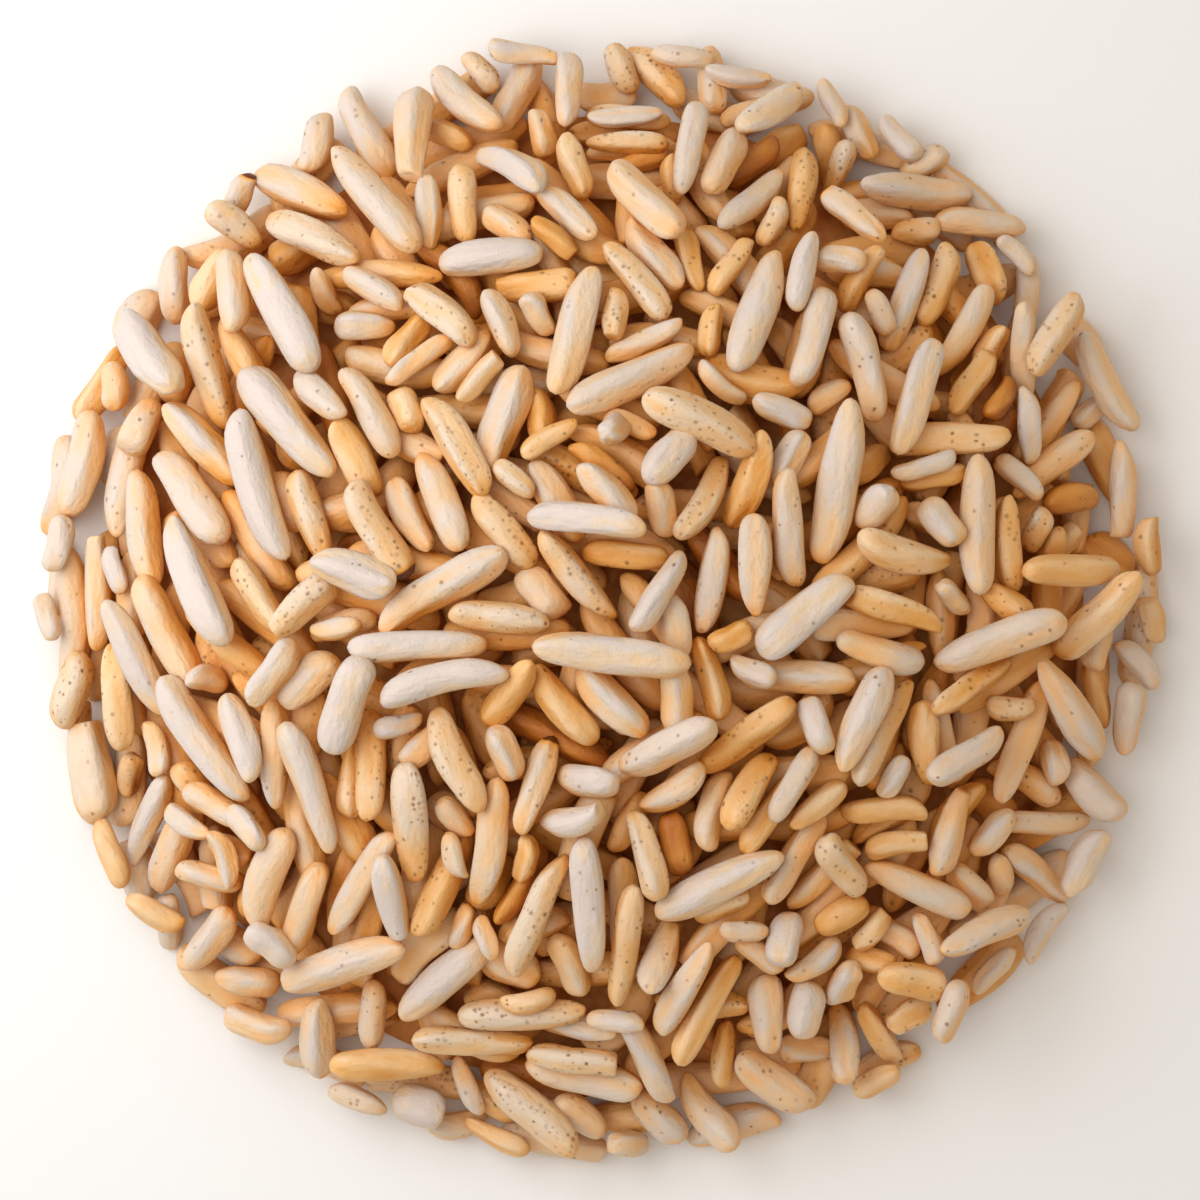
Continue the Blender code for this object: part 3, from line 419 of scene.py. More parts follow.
def usual_heading(x, y):
    """The heading that most grains take at a place. Opposite headings count as the same."""
    lie_x, lie_y, degrees = (np.array(column, float) for column in zip(*LIES))
    distance = np.hypot(x - lie_x * MM, y - lie_y * MM)
    weight = np.exp(-(distance**2) / (2 * LIE_REACH**2))
    double = 2 * np.radians(degrees)
    return math.atan2((weight * np.sin(double)).sum(), (weight * np.cos(double)).sum()) / 2


class Heap:
    """The heap as it grows: its grains, and its height on a square grid."""

    UNDER_ALONG = np.linspace(-1, 1, 11)
    UNDER_ACROSS = np.array([-0.9, -0.55, 0, 0.55, 0.9])
    TOP_ALONG = np.linspace(-1, 1, 61)
    TOP_ACROSS = np.linspace(-0.98, 0.98, 21)

    def __init__(self, rng):
        self.rng = rng
        self.grains = []
        ticks = np.arange(-MAP_REACH, MAP_REACH + CELL / 2, CELL)
        self.count = len(ticks)
        x, y = np.meshgrid(ticks, ticks, indexing="ij")
        self.skin = skin_height(x, y)
        self.height = np.maximum(self.skin - LOOSE_DEPTH, 0)

    def cells(self, x, y):
        """The cells of the grid that places fall in."""
        i = np.rint((x + MAP_REACH) / CELL).astype(int)
        j = np.rint((y + MAP_REACH) / CELL).astype(int)
        return np.clip(i, 0, self.count - 1), np.clip(j, 0, self.count - 1)

    def settle(self, grain, x, y, heading, pitch, limit):
        """Lays the grain where, of the places tried, it lies lowest. Says whether that is in the heap."""
        under = grain.side_points(self.UNDER_ALONG, self.UNDER_ACROSS, -1)
        px, py, pz = turned(under, heading, pitch)
        px, py = px + x[:, None], py + y[:, None]
        rest = (self.height[self.cells(px, py)] - pz).max(axis=1) - BEDDED_IN
        past = np.clip(np.hypot(px, py).max(axis=1) - limit, 0, None)
        cost = rest - skin_height(x, y) + PAST_RIM_COST * past + PITCH_COST * np.abs(pitch)
        best = int(np.argmin(np.round(cost, COST_DIGITS)))
        grain.x, grain.y, grain.z = float(x[best]), float(y[best]), float(rest[best])
        grain.heading, grain.pitch = float(heading[best]), float(pitch[best])
        return past[best] < PAST_RIM_MOST

    def add(self, grain, highest):
        """Adds a settled grain to the height map, unless it would stand out above the skin too far."""
        top = grain.side_points(self.TOP_ALONG, self.TOP_ACROSS, 1)
        px, py, pz = (row[0] for row in turned(top, np.array([grain.heading]), np.array([grain.pitch])))
        pz = pz + grain.z
        i, j = self.cells(px + grain.x, py + grain.y)
        if (pz - self.skin[i, j]).max() > highest:
            return False
        order = np.argsort(pz, kind="stable")
        i, j, pz = i[order], j[order], pz[order]
        above = pz > self.height[i, j]
        self.height[i[above], j[above]] = pz[above]
        self.grains.append(grain)
        return True

    def new_grain(self):
        """A grain of the mix: most are whole, and some are broken at one or both ends, bent or stubby."""
        rng = self.rng
        length = np.clip(rng.normal(GRAIN_LENGTH, GRAIN_LENGTH_SPREAD), SHORTEST_GRAIN, LONGEST_GRAIN)
        width = np.clip(rng.normal(GRAIN_WIDTH, GRAIN_WIDTH_SPREAD), NARROWEST_GRAIN, WIDEST_GRAIN)
        width += WIDTH_PER_LENGTH * (length - GRAIN_LENGTH)
        bend = abs(rng.normal(0, BEND_SPREAD))
        noses = rng.uniform(*NOSE_POWERS, 2)
        tail = head = 1.0
        kind = rng.random()
        if kind < CUT_SHARE:
            head = rng.uniform(*CUT_KEEPS)
        if kind < CUT_TWICE_SHARE:
            tail = rng.uniform(*CUT_KEEPS)
        if BENT_SHARES[0] < kind < BENT_SHARES[1]:
            bend += STRONG_BEND
        if kind > 1 - STUB_SHARE:
            length = rng.uniform(*STUB_LENGTHS) * MM
            width = rng.uniform(*STUB_WIDTHS) * MM
        return Grain(length, width, bend, rng.uniform(0, 2 * math.pi), noses, tail, head)

    def new_bit(self):
        """A small or broken grain, of those that slip into the gaps between the others."""
        rng = self.rng
        length, width = rng.uniform(*BIT_LENGTHS) * MM, rng.uniform(*BIT_WIDTHS) * MM
        noses = rng.uniform(*NOSE_POWERS, 2)
        head = CUT_KEEPS[1] if rng.random() < CUT_SHARE else 1.0
        bend, side = abs(rng.normal(0, BEND_SPREAD)), rng.uniform(0, 2 * math.pi)
        return Grain(length, width, bend, side, noses, 1.0, head)

    def fill(self, depth, highest, patch, new_grain):
        """Lays grains in the deepest patch, again and again, until none lies deeper than depth."""
        rng = self.rng
        patches = self.count // patch
        middle = (np.arange(patches) * patch + patch / 2) * CELL - MAP_REACH
        px, py = np.meshgrid(middle, middle, indexing="ij")
        wanted = skin_height(px, py)
        inside = np.hypot(px, py) < HEAP_RADIUS - GRAIN_WIDTH / 2
        misses = np.zeros(px.shape)
        square = slice(0, patches * patch)
        while misses.sum() <= MOST_MISSES:
            blocks = self.height[square, square].reshape(patches, patch, patches, patch)
            short = wanted - blocks.mean(axis=(1, 3)) - MISS_COST * misses
            short = np.where(inside, short, -HEAP_HEIGHT) + LEVEL_NOISE * rng.random(px.shape)
            spot = np.unravel_index(np.argmax(np.round(short, COST_DIGITS)), px.shape)
            if short[spot] < depth:
                return
            grain = new_grain()
            x = px[spot] + rng.uniform(-PLACE_SPREAD, PLACE_SPREAD, TRIES)
            y = py[spot] + rng.uniform(-PLACE_SPREAD, PLACE_SPREAD, TRIES)
            heading = usual_heading(px[spot], py[spot]) + rng.normal(0, ALIKE_SCATTER)
            at_rim = np.hypot(px[spot], py[spot]) > RIM_FROM
            heading = heading + rng.normal(0, RIM_TRY_SCATTER if at_rim else TRY_SCATTER, TRIES)
            pitch = rng.normal(0, PITCH_SPREAD, TRIES)
            limit = HEAP_RADIUS - rng.uniform(0, RAGGED_RIM)
            if not (self.settle(grain, x, y, heading, pitch, limit) and self.add(grain, highest)):
                misses[spot] += 1

    def lay_shown(self, looks):
        """Lays the grains that show, each at its own place and heading."""
        rng = self.rng
        near = SHOWN_PLACE_SPREAD
        turn = SHOWN_HEADING_SPREAD
        for look, places in looks.items():
            for x, y, heading, length, width in places:
                bend = SHOWN_BEND if "bent" in look else abs(rng.normal(0, BEND_SPREAD)) / 2
                side = 0.0 if "bent" in look else rng.uniform(0, 2 * math.pi)
                noses = rng.uniform(*NOSE_POWERS, 2)
                head = CUT_KEEPS[1] if "cut" in look else 1.0
                pitch = ON_END_PITCH if "on end" in look else 0.0
                grain = Grain(length * MM, width * MM, bend, side, noses, 1.0, head, look)
                self.settle(
                    grain,
                    x * MM + rng.uniform(-near, near, SHOWN_TRIES),
                    y * MM + rng.uniform(-near, near, SHOWN_TRIES),
                    math.radians(heading) + rng.uniform(-turn, turn, SHOWN_TRIES),
                    pitch + rng.normal(0, SHOWN_PITCH_SPREAD, SHOWN_TRIES),
                    HEAP_RADIUS,
                )
                self.add(grain, math.inf)


heap = Heap(np.random.default_rng(SEED))
heap.fill(BED_DEPTH, BED_ROOM, PATCH, heap.new_grain)
heap.lay_shown(GRAINS_UNDER)
heap.lay_shown(GRAINS_OVER)
heap.fill(LAST_DEPTH, HIGHEST_BUMP, PATCH, heap.new_grain)
heap.fill(BIT_DEPTH, BIT_BUMP, BIT_PATCH, heap.new_bit)


# A grain's mesh is a ball of few faces, drawn out to a rod with blunt tips that stand off its middle line.
# It has soft flats, dents and now and then a groove, because a steamed grain is squeezed by its neighbours
# as it swells. One subdivision rounds it off.
GRAIN_SIDES = 12
GRAIN_STEPS = 8
ROUNDED_OFF = 0.966  # what a ring of twelve sides keeps of its radius when it is subdivided
CORNERS_IN = 0.94  # keeps the corners between flats within the width
RISES = (0, 0.383, 0.707, 0.924, 1)  # how high the ball's rings lie
PLACES = (0, 0.45, 0.78, 0.935, 1.02)  # where along a grain each of them goes
SHOULDERS = (-0.06, 0.38)  # how much fuller an end is than its spindle
FLATS = 4
FLAT_DEPTHS = (0.06, 0.18)
FLATTER = 0.055
FLAT_SIDES = 2
LOPSIDED = 0.035
LOPSIDED_SIDES = 3
SECTION_TWIST = 0.35
RIDGE_SPREAD = 0.045
END_SLIMMER = 0.06
WAIST = 0.045
WAIST_WAVE = 3
UNEVEN = 0.042
TIP_SHIFT = 0.2
TIP_SHIFT_POWER = 3
RING_SHIFT = 0.065
DENTS = 3
DENT_REACH = 0.8
DENT_DEPTHS = (0.04, 0.18)
DENT_LENGTH = 0.3
DENT_WIDTH = 0.3
GROOVE_SHARE = 0.35
GROOVE_DEPTH = 0.1
GROOVE_WIDTH = 0.06
CUT_FROM = 0.2
CUT_RISES = (0.2, 0.383, 0.707, 0.924, 1)
CUT_PLACES = (0.2, 0.55, 0.94, 1, 0.98)
CUT_EDGE = (0.9, 0.92)  # from where a cut end slants, and from where it draws in and to what share
CUT_SLANT = 0.04

# A grain is browner at its tips. Deep in the heap, in its dents and on the side turned from the window it
# is painted browner as painted shade, where the light comes out orange after it went through the grain; its
# swollen parts and the side towards the window are painted paler as painted light.
# Painted shade of depth: a point below the heap's mean height is painted browner, the more the deeper it
# lies.
DEEP_FROM = -0.5 * MM
DEEP = 2.4 * MM
DEEP_REACH = 7  # how many cells each way the heap's height is averaged over
DEEP_PAINTED_SHADE = 0.45
# The side of a grain towards this direction is painted paler as painted light, the side turned from it
# browner as painted shade.
PAINTED_LIGHT_SIDE = (-0.58, 0.24, 0.78)
END_POWER = 5  # only the last of an end faces along the grain
FAR_SIDE_PAINTED_SHADE = 0.3
# Dents and flats are painted browner as painted shade, swollen parts paler as painted light.
HOLLOW_PAINTED_SHADE = 0.7
TIP_TOAST = 0.12
TIP_POWER = 6
MOTTLE_TOAST = 0.35
# Within this reach of the rim the painted shade of depth fades, down to this share.
RIM_REACH = 9 * MM
RIM_SHARE = 0.35
BROWNEST = 0.8
SCORCHED_FROM = 0.9
SCORCHED = 1.2

KINDS = ("pale", "cream", "speckled", "tan", "amber")
BED_SHARES = (0.27, 0.38, 0.13, 0.18, 0.04)
SPECKLED_PITS = 0.65
PITS_VARY = (0, 2)
PIT_ROWS = (0.25, 0.85)
OWN_PLACES = 400  # how far apart in the pattern two grains may lie, in mm
LOOK_SEED = 21


def draw_ball():
    """The points and faces of a ball of few faces."""
    bm = bmesh.new()
    bmesh.ops.create_uvsphere(bm, u_segments=GRAIN_SIDES, v_segments=GRAIN_STEPS, radius=1)
    bm.verts.index_update()
    points = np.array([vert.co for vert in bm.verts])
    faces = [[vert.index for vert in face.verts] for face in bm.faces]
    bm.free()
    return points, faces


ball_points, ball_faces = draw_ball()
ball_rise = ball_points[:, 2]
ball_angle = np.arctan2(ball_points[:, 1], ball_points[:, 0])
ball_column = np.rint(ball_angle / (2 * math.pi) * GRAIN_SIDES).astype(int) % GRAIN_SIDES
ball_latitude = np.arcsin(np.clip(ball_rise, -1, 1))
ball_ring = np.rint(ball_latitude / math.pi * GRAIN_STEPS).astype(int) + GRAIN_STEPS // 2
ball_poles = np.hypot(ball_points[:, 0], ball_points[:, 1]) < SAME_PLACE
mean_height = heap.height
for axis in (0, 1):
    near = [np.roll(mean_height, step, axis) for step in range(-DEEP_REACH, DEEP_REACH + 1)]
    mean_height = np.mean(near, axis=0)


def swelling(u, rng):
    """How much more or less than its outline a grain swells, all over it."""
    turn = 2 * math.pi
    around = ball_angle + SECTION_TWIST * rng.normal() * u + rng.uniform(0, turn)
    swell = 1 + END_SLIMMER * rng.normal() * u
    swell = swell + WAIST * rng.normal() * np.cos(WAIST_WAVE * u + rng.uniform(0, turn))
    swell = swell + rng.uniform(*FLAT_DEPTHS) * np.cos(FLATS * around)
    swell = swell + FLATTER * rng.normal() * np.cos(FLAT_SIDES * around)
    swell = swell + LOPSIDED * rng.normal() * np.cos(LOPSIDED_SIDES * around)
    swell = swell + RIDGE_SPREAD * rng.normal(size=GRAIN_SIDES)[ball_column]
    for _ in range(DENTS):
        beside = 1 - np.cos(around - rng.uniform(0, turn))
        along = (u - rng.uniform(-DENT_REACH, DENT_REACH)) / DENT_LENGTH
        dent = np.exp(-(along**2) - beside / DENT_WIDTH)
        swell = swell - rng.uniform(*DENT_DEPTHS) * dent
    if rng.random() < GROOVE_SHARE:
        beside = 1 - np.cos(around - rng.uniform(0, turn))
        swell = swell - GROOVE_DEPTH * np.exp(-beside / GROOVE_WIDTH)
    return swell + UNEVEN * rng.normal(size=len(u))


def shaped(grain, rng):
    """A grain's points in the heap, the same points in its own frame, and how much it swells at each."""
    u = np.sign(ball_rise) * np.interp(np.abs(ball_rise), RISES, PLACES)
    fuller = 1 + rng.uniform(*SHOULDERS, 2)[(u > 0).astype(int)] * u**2
    for end, keeps in ((1, grain.head), (-1, grain.tail)):
        slant = CUT_SLANT * rng.normal() * np.cos(ball_angle - rng.uniform(0, 2 * math.pi))
        if keeps < 1:
            place = np.interp(np.abs(ball_rise), CUT_RISES, CUT_PLACES)
            place = place + np.where((place > CUT_EDGE[0]) & ~ball_poles, slant, 0)
            there = ball_rise * end > CUT_FROM
            u = np.where(there, end * place, u)
            fuller = np.where(there, np.where(place > CUT_EDGE[1], CUT_EDGE[1], 1), fuller)
    swell = swelling(u, rng)
    half = grain.half_width(np.clip(u, -1, 1)) * swell * fuller * CORNERS_IN / ROUNDED_OFF
    half = np.where(ball_poles, 0, half)
    shifts = RING_SHIFT * rng.normal(size=(2, GRAIN_STEPS + 1))[:, ball_ring]
    tips = TIP_SHIFT * rng.normal(size=(2, 2))[:, (u > 0).astype(int)] * np.abs(u) ** TIP_SHIFT_POWER
    off = (shifts + tips) * grain.width / 2
    sideways, up = grain.bow(u)
    across, above = half * np.cos(ball_angle) + off[0], half * np.sin(ball_angle) + off[1]
    own = np.stack((u * grain.length / 2, across, above), axis=1)
    local = (own[:, 0], across + sideways, above + up)
    x, y, z = (row[0] for row in turned(local, np.array([grain.heading]), np.array([grain.pitch])))
    return np.stack((x + grain.x, y + grain.y, np.maximum(z + grain.z, 0)), axis=1), own, swell


def toasted(grain, points, swell, toast, rng):
    """How toasted a grain is at each point, with painted shade and painted light added: 0 is white, 1 is
    charred.
    """
    # Painted shade: browner the deeper the point lies below the heap's mean height, less so near the rim.
    depth = mean_height[heap.cells(points[:, 0], points[:, 1])] - points[:, 2]
    outwards = (ball_rise**END_POWER, ball_points[:, 0], ball_points[:, 1])
    sides = turned(outwards, np.array([grain.heading]), np.array([grain.pitch]))
    facing = sum(row[0] * paler for row, paler in zip(sides, PAINTED_LIGHT_SIDE))
    inside = np.clip((HEAP_RADIUS - np.hypot(points[:, 0], points[:, 1])) / RIM_REACH, RIM_SHARE, 1)
    browned_and_shaded = toast + inside * DEEP_PAINTED_SHADE * np.clip((depth - DEEP_FROM) / (DEEP - DEEP_FROM), 0, 1)
    # Painted shade on the side turned from the window and in dents, painted light on the side towards it
    # and on swollen parts.
    browned_and_shaded = browned_and_shaded - FAR_SIDE_PAINTED_SHADE * facing + HOLLOW_PAINTED_SHADE * (1 - swell)
    browned_and_shaded = browned_and_shaded + TIP_TOAST * rng.random() * np.abs(ball_rise) ** TIP_POWER
    browned_and_shaded = np.minimum(browned_and_shaded, BROWNEST) - MOTTLE_TOAST / 2
    if "scorched" in grain.look:
        browned_and_shaded = np.where(ball_rise > SCORCHED_FROM, SCORCHED, browned_and_shaded)
    return browned_and_shaded


def grain_piece(name, grains, toasts, pits, skin):
    """One mesh of all grains of a kind. The skin reads each one's own place, toast with its painted shade
    and light, and pits from it.
    """
    rng = np.random.default_rng(LOOK_SEED + len(grains))
    all_points, own_places, all_toasts_and_shades, all_pits = [], [], [], []
    for grain in grains:
        points, own, swell = shaped(grain, rng)
        all_points.append(points)
        own_places.append(own / MM + rng.uniform(0, OWN_PLACES, 3))
        all_toasts_and_shades.append(toasted(grain, points, swell, rng.uniform(*toasts), rng))
        row = np.cos(ball_angle - rng.uniform(0, 2 * math.pi)) ** 2
        share = SPECKLED_PITS if "speckled" in grain.look else pits * rng.uniform(*PITS_VARY)
        all_pits.append(share * (PIT_ROWS[0] + PIT_ROWS[1] * row))
    starts = [index * len(ball_points) for index in range(len(grains))]
    faces = [[start + corner for corner in face] for start in starts for face in ball_faces]
    mesh = bpy.data.meshes.new(name)
    mesh.from_pydata(np.concatenate(all_points), [], faces)
    own_place = mesh.attributes.new("own_place", "FLOAT_VECTOR", "POINT")
    own_place.data.foreach_set("vector", np.concatenate(own_places).astype(np.float32).ravel())
    for label, values in (("toast", all_toasts_and_shades), ("pits", all_pits)):
        attribute = mesh.attributes.new(label, "FLOAT", "POINT")
        attribute.data.foreach_set("value", np.concatenate(values).astype(np.float32))
    piece = bpy.data.objects.new(name, mesh)
    bpy.context.scene.collection.objects.link(piece)
    rounding = piece.modifiers.new("rounding", "SUBSURF")
    rounding.levels = 1
    rounding.render_levels = 1
    finish_piece(piece, skin)


# The skin of a grain is dry starch foam: satin, finely pebbled and wrinkled along the grain, with a soft
# mottle, and small brown pits where bran is left. Its colour follows how toasted it is, and the painted
# shade and light that the toast attribute also holds.
ALONG = (0.45, 1, 1)
MOTTLES_PER_MM = 0.95
PEBBLES_PER_MM = 4.5
WRINKLES_PER_MM = 1.5
SKIN_DETAIL = 1.0
PIT_CELLS_PER_MM = 1.9
PIT_SIZES = (0.25, 0.4)
PIT_BROWN = "#70420f"
PIT_STRENGTHS = (0.4, 0.6)
RELIEF = 0.045 * MM
WRINKLE_RELIEF = 0.16 * MM
ROUGHNESS = 0.5
ROUGHNESS_SPREAD = 0.3
STARCH_IOR = 1.45


def puffed_skin(name, stops):
    """A grain's skin, from its colours by how toasted they are, painted shade and light included."""
    material, shader = new_material(name)
    place = add_node(material, "ShaderNodeAttribute", {"attribute_name": "own_place"}, {})
    own_place = place.outputs["Vector"]
    # The toast attribute holds each point's toast with painted shade and painted light added.
    toast = add_node(material, "ShaderNodeAttribute", {"attribute_name": "toast"}, {}).outputs["Fac"]
    pits = add_node(material, "ShaderNodeAttribute", {"attribute_name": "pits"}, {}).outputs["Fac"]
    inputs = {0: own_place, 1: ALONG}
    stretched = add_node(material, "ShaderNodeVectorMath", {"operation": "MULTIPLY"}, inputs)
    drawn_out = stretched.outputs["Vector"]
    multiply_add = {"operation": "MULTIPLY_ADD"}

    # The colour: how toasted the point is, with its painted shade and light and the mottle, picks it.
    inputs = {"Vector": drawn_out, "Scale": MOTTLES_PER_MM, "Detail": SKIN_DETAIL}
    mottle = add_node(material, "ShaderNodeTexNoise", {}, inputs).outputs["Fac"]
    inputs = {0: mottle, 1: MOTTLE_TOAST, 2: toast}
    browned_and_shaded = add_node(material, "ShaderNodeMath", multiply_add, inputs)
    colours = add_node(material, "ShaderNodeValToRGB", {}, {"Fac": browned_and_shaded.outputs[0]})
    set_ramp(colours, stops)

    # The pits: each cell of the pattern may have one, with its own size and darkness.
    cells = add_node(material, "ShaderNodeTexVoronoi", {}, {"Vector": own_place, "Scale": PIT_CELLS_PER_MM})
    chance = add_node(material, "ShaderNodeSeparateColor", {}, {"Color": cells.outputs["Color"]})
    inputs = {0: chance.outputs["Red"], 1: pits}
    present = add_node(material, "ShaderNodeMath", {"operation": "LESS_THAN"}, inputs)
    inputs = {0: chance.outputs["Blue"], 1: PIT_STRENGTHS[1], 2: PIT_STRENGTHS[0]}
    strength = add_node(material, "ShaderNodeMath", multiply_add, inputs)
    inputs = {0: present.outputs[0], 1: strength.outputs[0]}
    darkness = add_node(material, "ShaderNodeMath", {"operation": "MULTIPLY"}, inputs)
    inputs = {0: chance.outputs["Green"], 1: PIT_SIZES[1], 2: PIT_SIZES[0]}
    size = add_node(material, "ShaderNodeMath", multiply_add, inputs)
    inputs = {
        "Value": cells.outputs["Distance"],
        "From Min": size.outputs[0],
        "From Max": 0.0,
        "To Max": darkness.outputs[0],
    }
    pit = add_node(material, "ShaderNodeMapRange", {"interpolation_type": "SMOOTHSTEP"}, inputs)
    # Sockets 0, 6 and 7 of a colour mix are its factor and its two colours.
    inputs = {0: pit.outputs["Result"], 6: colours.outputs["Color"], 7: linear(PIT_BROWN)}
    pitted = add_node(material, "ShaderNodeMix", {"data_type": "RGBA"}, inputs)
    material.node_tree.links.new(pitted.outputs[2], shader.inputs["Base Color"])

    # The relief and the gloss: wrinkles along the grain under fine pebbles, duller where browner.
    inputs = {"Vector": own_place, "Scale": PEBBLES_PER_MM, "Detail": SKIN_DETAIL}
    pebbles = add_node(material, "ShaderNodeTexNoise", {}, inputs).outputs["Fac"]
    inputs = {"Vector": drawn_out, "Scale": WRINKLES_PER_MM, "Detail": SKIN_DETAIL}
    wrinkles = add_node(material, "ShaderNodeTexNoise", {}, inputs).outputs["Fac"]
    inputs = {"Height": wrinkles, "Distance": WRINKLE_RELIEF}
    wrinkled = add_node(material, "ShaderNodeBump", {}, inputs)
    inputs = {"Height": pebbles, "Distance": RELIEF, "Normal": wrinkled.outputs["Normal"]}
    bump = add_node(material, "ShaderNodeBump", {}, inputs)
    material.node_tree.links.new(bump.outputs["Normal"], shader.inputs["Normal"])
    inputs = {0: mottle, 1: ROUGHNESS_SPREAD, 2: ROUGHNESS - ROUGHNESS_SPREAD / 2}
    roughness = add_node(material, "ShaderNodeMath", multiply_add, inputs)
    material.node_tree.links.new(roughness.outputs[0], shader.inputs["Roughness"])
    shader.inputs["IOR"].default_value = STARCH_IOR
    return material


sorting = np.random.default_rng(LOOK_SEED)
kinds = {kind: [] for kind in KINDS}
for grain in heap.grains:
    drawn = str(sorting.choice(KINDS, p=BED_SHARES))
    kinds[grain.look.split()[0] if grain.look else drawn].append(grain)


# Pale grains, the plumpest. Their skin is blown up thin and nearly white, with a breath of tan at the tips;
# the whiter top and the tan underneath are painted light and painted shade.
PALE_COLOURS = (
    (0.0, "#cdc2bc"),
    (0.15, "#d7c1a7"),
    (0.35, "#e4bc8c"),
    (0.6, "#e8ae66"),
    (0.8, "#e09d46"),
    (1.0, "#6a350c"),
)
PALE_TOASTS = (0.13, 0.33)
PALE_PITS = 0.04
pale_skin = puffed_skin("pale puffed rice skin", PALE_COLOURS)
grain_piece("pale_grains", kinds["pale"], PALE_TOASTS, PALE_PITS, pale_skin)


# Cream grains, the most common. Their starch skin is lightly toasted all over, and browner at the tips;
# the browner dents are painted shade.
CREAM_COLOURS = (
    (0.0, "#cfc1b5"),
    (0.17, "#dabd9c"),
    (0.38, "#e5b47d"),
    (0.6, "#e5a85e"),
    (0.8, "#dd9740"),
    (1.0, "#64320b"),
)
CREAM_TOASTS = (0.16, 0.36)
CREAM_PITS = 0.1
cream_skin = puffed_skin("cream puffed rice skin", CREAM_COLOURS)
grain_piece("cream_grains", kinds["cream"], CREAM_TOASTS, CREAM_PITS, cream_skin)


# Speckled grains. Milling left some bran on them, which shows in the starch skin as many small brown pits,
# most of them in rows along the grain.
SPECKLED_COLOURS = (
    (0.0, "#d6c4b0"),
    (0.2, "#dbb98f"),
    (0.4, "#dfac70"),
    (0.6, "#dc9f54"),
    (0.8, "#cf8932"),
    (1.0, "#5c2d0a"),
)
SPECKLED_TOASTS = (0.2, 0.38)
speckled_skin = puffed_skin("speckled puffed rice skin", SPECKLED_COLOURS)
grain_piece("speckled_grains", kinds["speckled"], SPECKLED_TOASTS, SPECKLED_PITS, speckled_skin)


# Tan grains. They were toasted longer, so their starch skin is an even golden tan. Most have a few pits
# of bran.
TAN_COLOURS = (
    (0.0, "#e1c39e"),
    (0.22, "#e1b47c"),
    (0.42, "#dda45b"),
    (0.62, "#d69242"),
    (0.8, "#c97f2c"),
    (1.0, "#522707"),
)
TAN_TOASTS = (0.22, 0.45)
TAN_PITS = 0.22
tan_skin = puffed_skin("tan puffed rice skin", TAN_COLOURS)
grain_piece("tan_grains", kinds["tan"], TAN_TOASTS, TAN_PITS, tan_skin)


# Amber grains, over-toasted and hardly puffed, so that the starch turned dense and brown. They are few,
# and most lie deep in the heap.
AMBER_COLOURS = ((0.0, "#dba764"), (0.4, "#c98738"), (0.7, "#ac621a"), (1.0, "#5a2c0a"))
AMBER_TOASTS = (0.3, 0.6)
AMBER_PITS = 0.12
amber_skin = puffed_skin("amber puffed rice skin", AMBER_COLOURS)
grain_piece("amber_grains", kinds["amber"], AMBER_TOASTS, AMBER_PITS, amber_skin)


# The floor, a plain matt board, with the light and the camera of a small studio. A soft window stands on
# the left. The room gives warm fill, brightest overhead and a little to the left. The camera looks
# straight down.
FLOOR_SIDE = 3.0
FLOOR_WHITE = "#e9edf2"
FLOOR_ROUGHNESS = 0.8
WINDOW_PLACE = (-0.106, 0.04, 0.098)
WINDOW_SIDE = 0.15
WINDOW_POWER = 0.156
WINDOW_COLOUR = (0.96, 0.975, 0.99)
ROOM_WALLS = (0.62, 0.61, 0.59)
ROOM_UPPER = (0.56, 0.5, 0.43)
ROOM_OVERHEAD = (2.22, 2.02, 1.76)
WALLS_END = (0.08, 0.18)  # the walls turn into the upper room between these sines of the height
OVERHEAD_TOWARDS = (-0.36, 0.1, 0.928)
OVERHEAD_EDGE = (0.86, 0.94)  # the bright part begins between these cosines of the angle from its middle
HEAP_LEVEL = 12 * MM
PHOTO_WIDTH = 96.3 * MM  # what the frame takes in at the level of the heap
CAMERA_LENS = 240

bm = bmesh.new()
bmesh.ops.create_grid(bm, x_segments=1, y_segments=1, size=FLOOR_SIDE / 2)
floor_mesh = bpy.data.meshes.new("floor")
bm.to_mesh(floor_mesh)
bm.free()
floor = bpy.data.objects.new("floor", floor_mesh)
bpy.context.scene.collection.objects.link(floor)
board, shader = new_material("matt white board")
shader.inputs["Base Color"].default_value = linear(FLOOR_WHITE)
shader.inputs["Roughness"].default_value = FLOOR_ROUGHNESS
floor_mesh.materials.append(board)

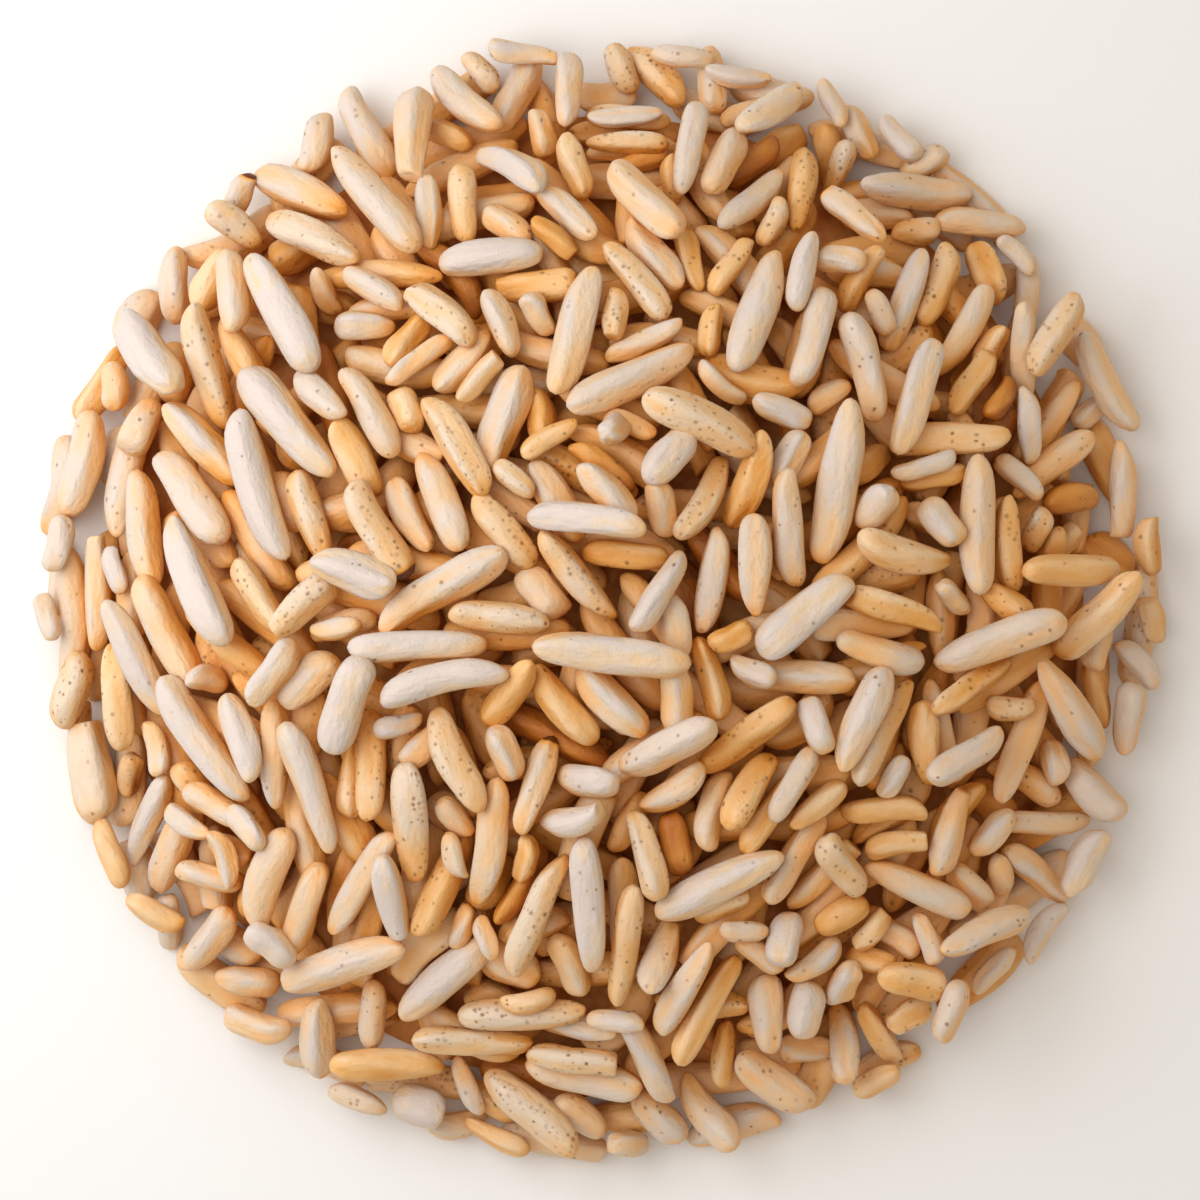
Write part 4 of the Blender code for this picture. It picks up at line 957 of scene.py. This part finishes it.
window_light = bpy.data.lights.new("window", "AREA")
window_light.shape = "SQUARE"
window_light.size = WINDOW_SIDE
window_light.energy = WINDOW_POWER
window_light.color = WINDOW_COLOUR
window = bpy.data.objects.new("window", window_light)
bpy.context.scene.collection.objects.link(window)
window.location = WINDOW_PLACE
window.rotation_euler = (-Vector(WINDOW_PLACE)).to_track_quat("-Z", "Y").to_euler()
window.visible_camera = False

room = bpy.data.worlds.new("room")
bpy.context.scene.world = room
room.use_nodes = True
direction = add_node(room, "ShaderNodeTexCoord", {}, {}).outputs["Generated"]
how_high = add_node(room, "ShaderNodeSeparateXYZ", {}, {"Vector": direction}).outputs["Z"]
inputs = {"Value": how_high, "From Min": WALLS_END[0], "From Max": WALLS_END[1]}
above_walls = add_node(room, "ShaderNodeMapRange", {}, inputs).outputs["Result"]
inputs = {0: direction, 1: OVERHEAD_TOWARDS}
near_overhead = add_node(room, "ShaderNodeVectorMath", {"operation": "DOT_PRODUCT"}, inputs)
inputs = {
    "Value": near_overhead.outputs["Value"],
    "From Min": OVERHEAD_EDGE[0],
    "From Max": OVERHEAD_EDGE[1],
}
overhead = add_node(room, "ShaderNodeMapRange", {}, inputs).outputs["Result"]
inputs = {0: above_walls, 6: (*ROOM_WALLS, 1), 7: (*ROOM_UPPER, 1)}
sides = add_node(room, "ShaderNodeMix", {"data_type": "RGBA"}, inputs).outputs[2]
inputs = {0: overhead, 6: sides, 7: (*ROOM_OVERHEAD, 1)}
light = add_node(room, "ShaderNodeMix", {"data_type": "RGBA"}, inputs).outputs[2]
room.node_tree.links.new(light, room.node_tree.nodes["Background"].inputs["Color"])

camera_data = bpy.data.cameras.new("camera")
camera_data.lens = CAMERA_LENS
camera = bpy.data.objects.new("camera", camera_data)
bpy.context.scene.collection.objects.link(camera)
camera.location = (0, 0, HEAP_LEVEL + PHOTO_WIDTH * CAMERA_LENS / camera_data.sensor_width)
bpy.context.scene.camera = camera
bpy.context.scene.view_settings.view_transform = "Standard"
bpy.context.scene.view_settings.look = "None"
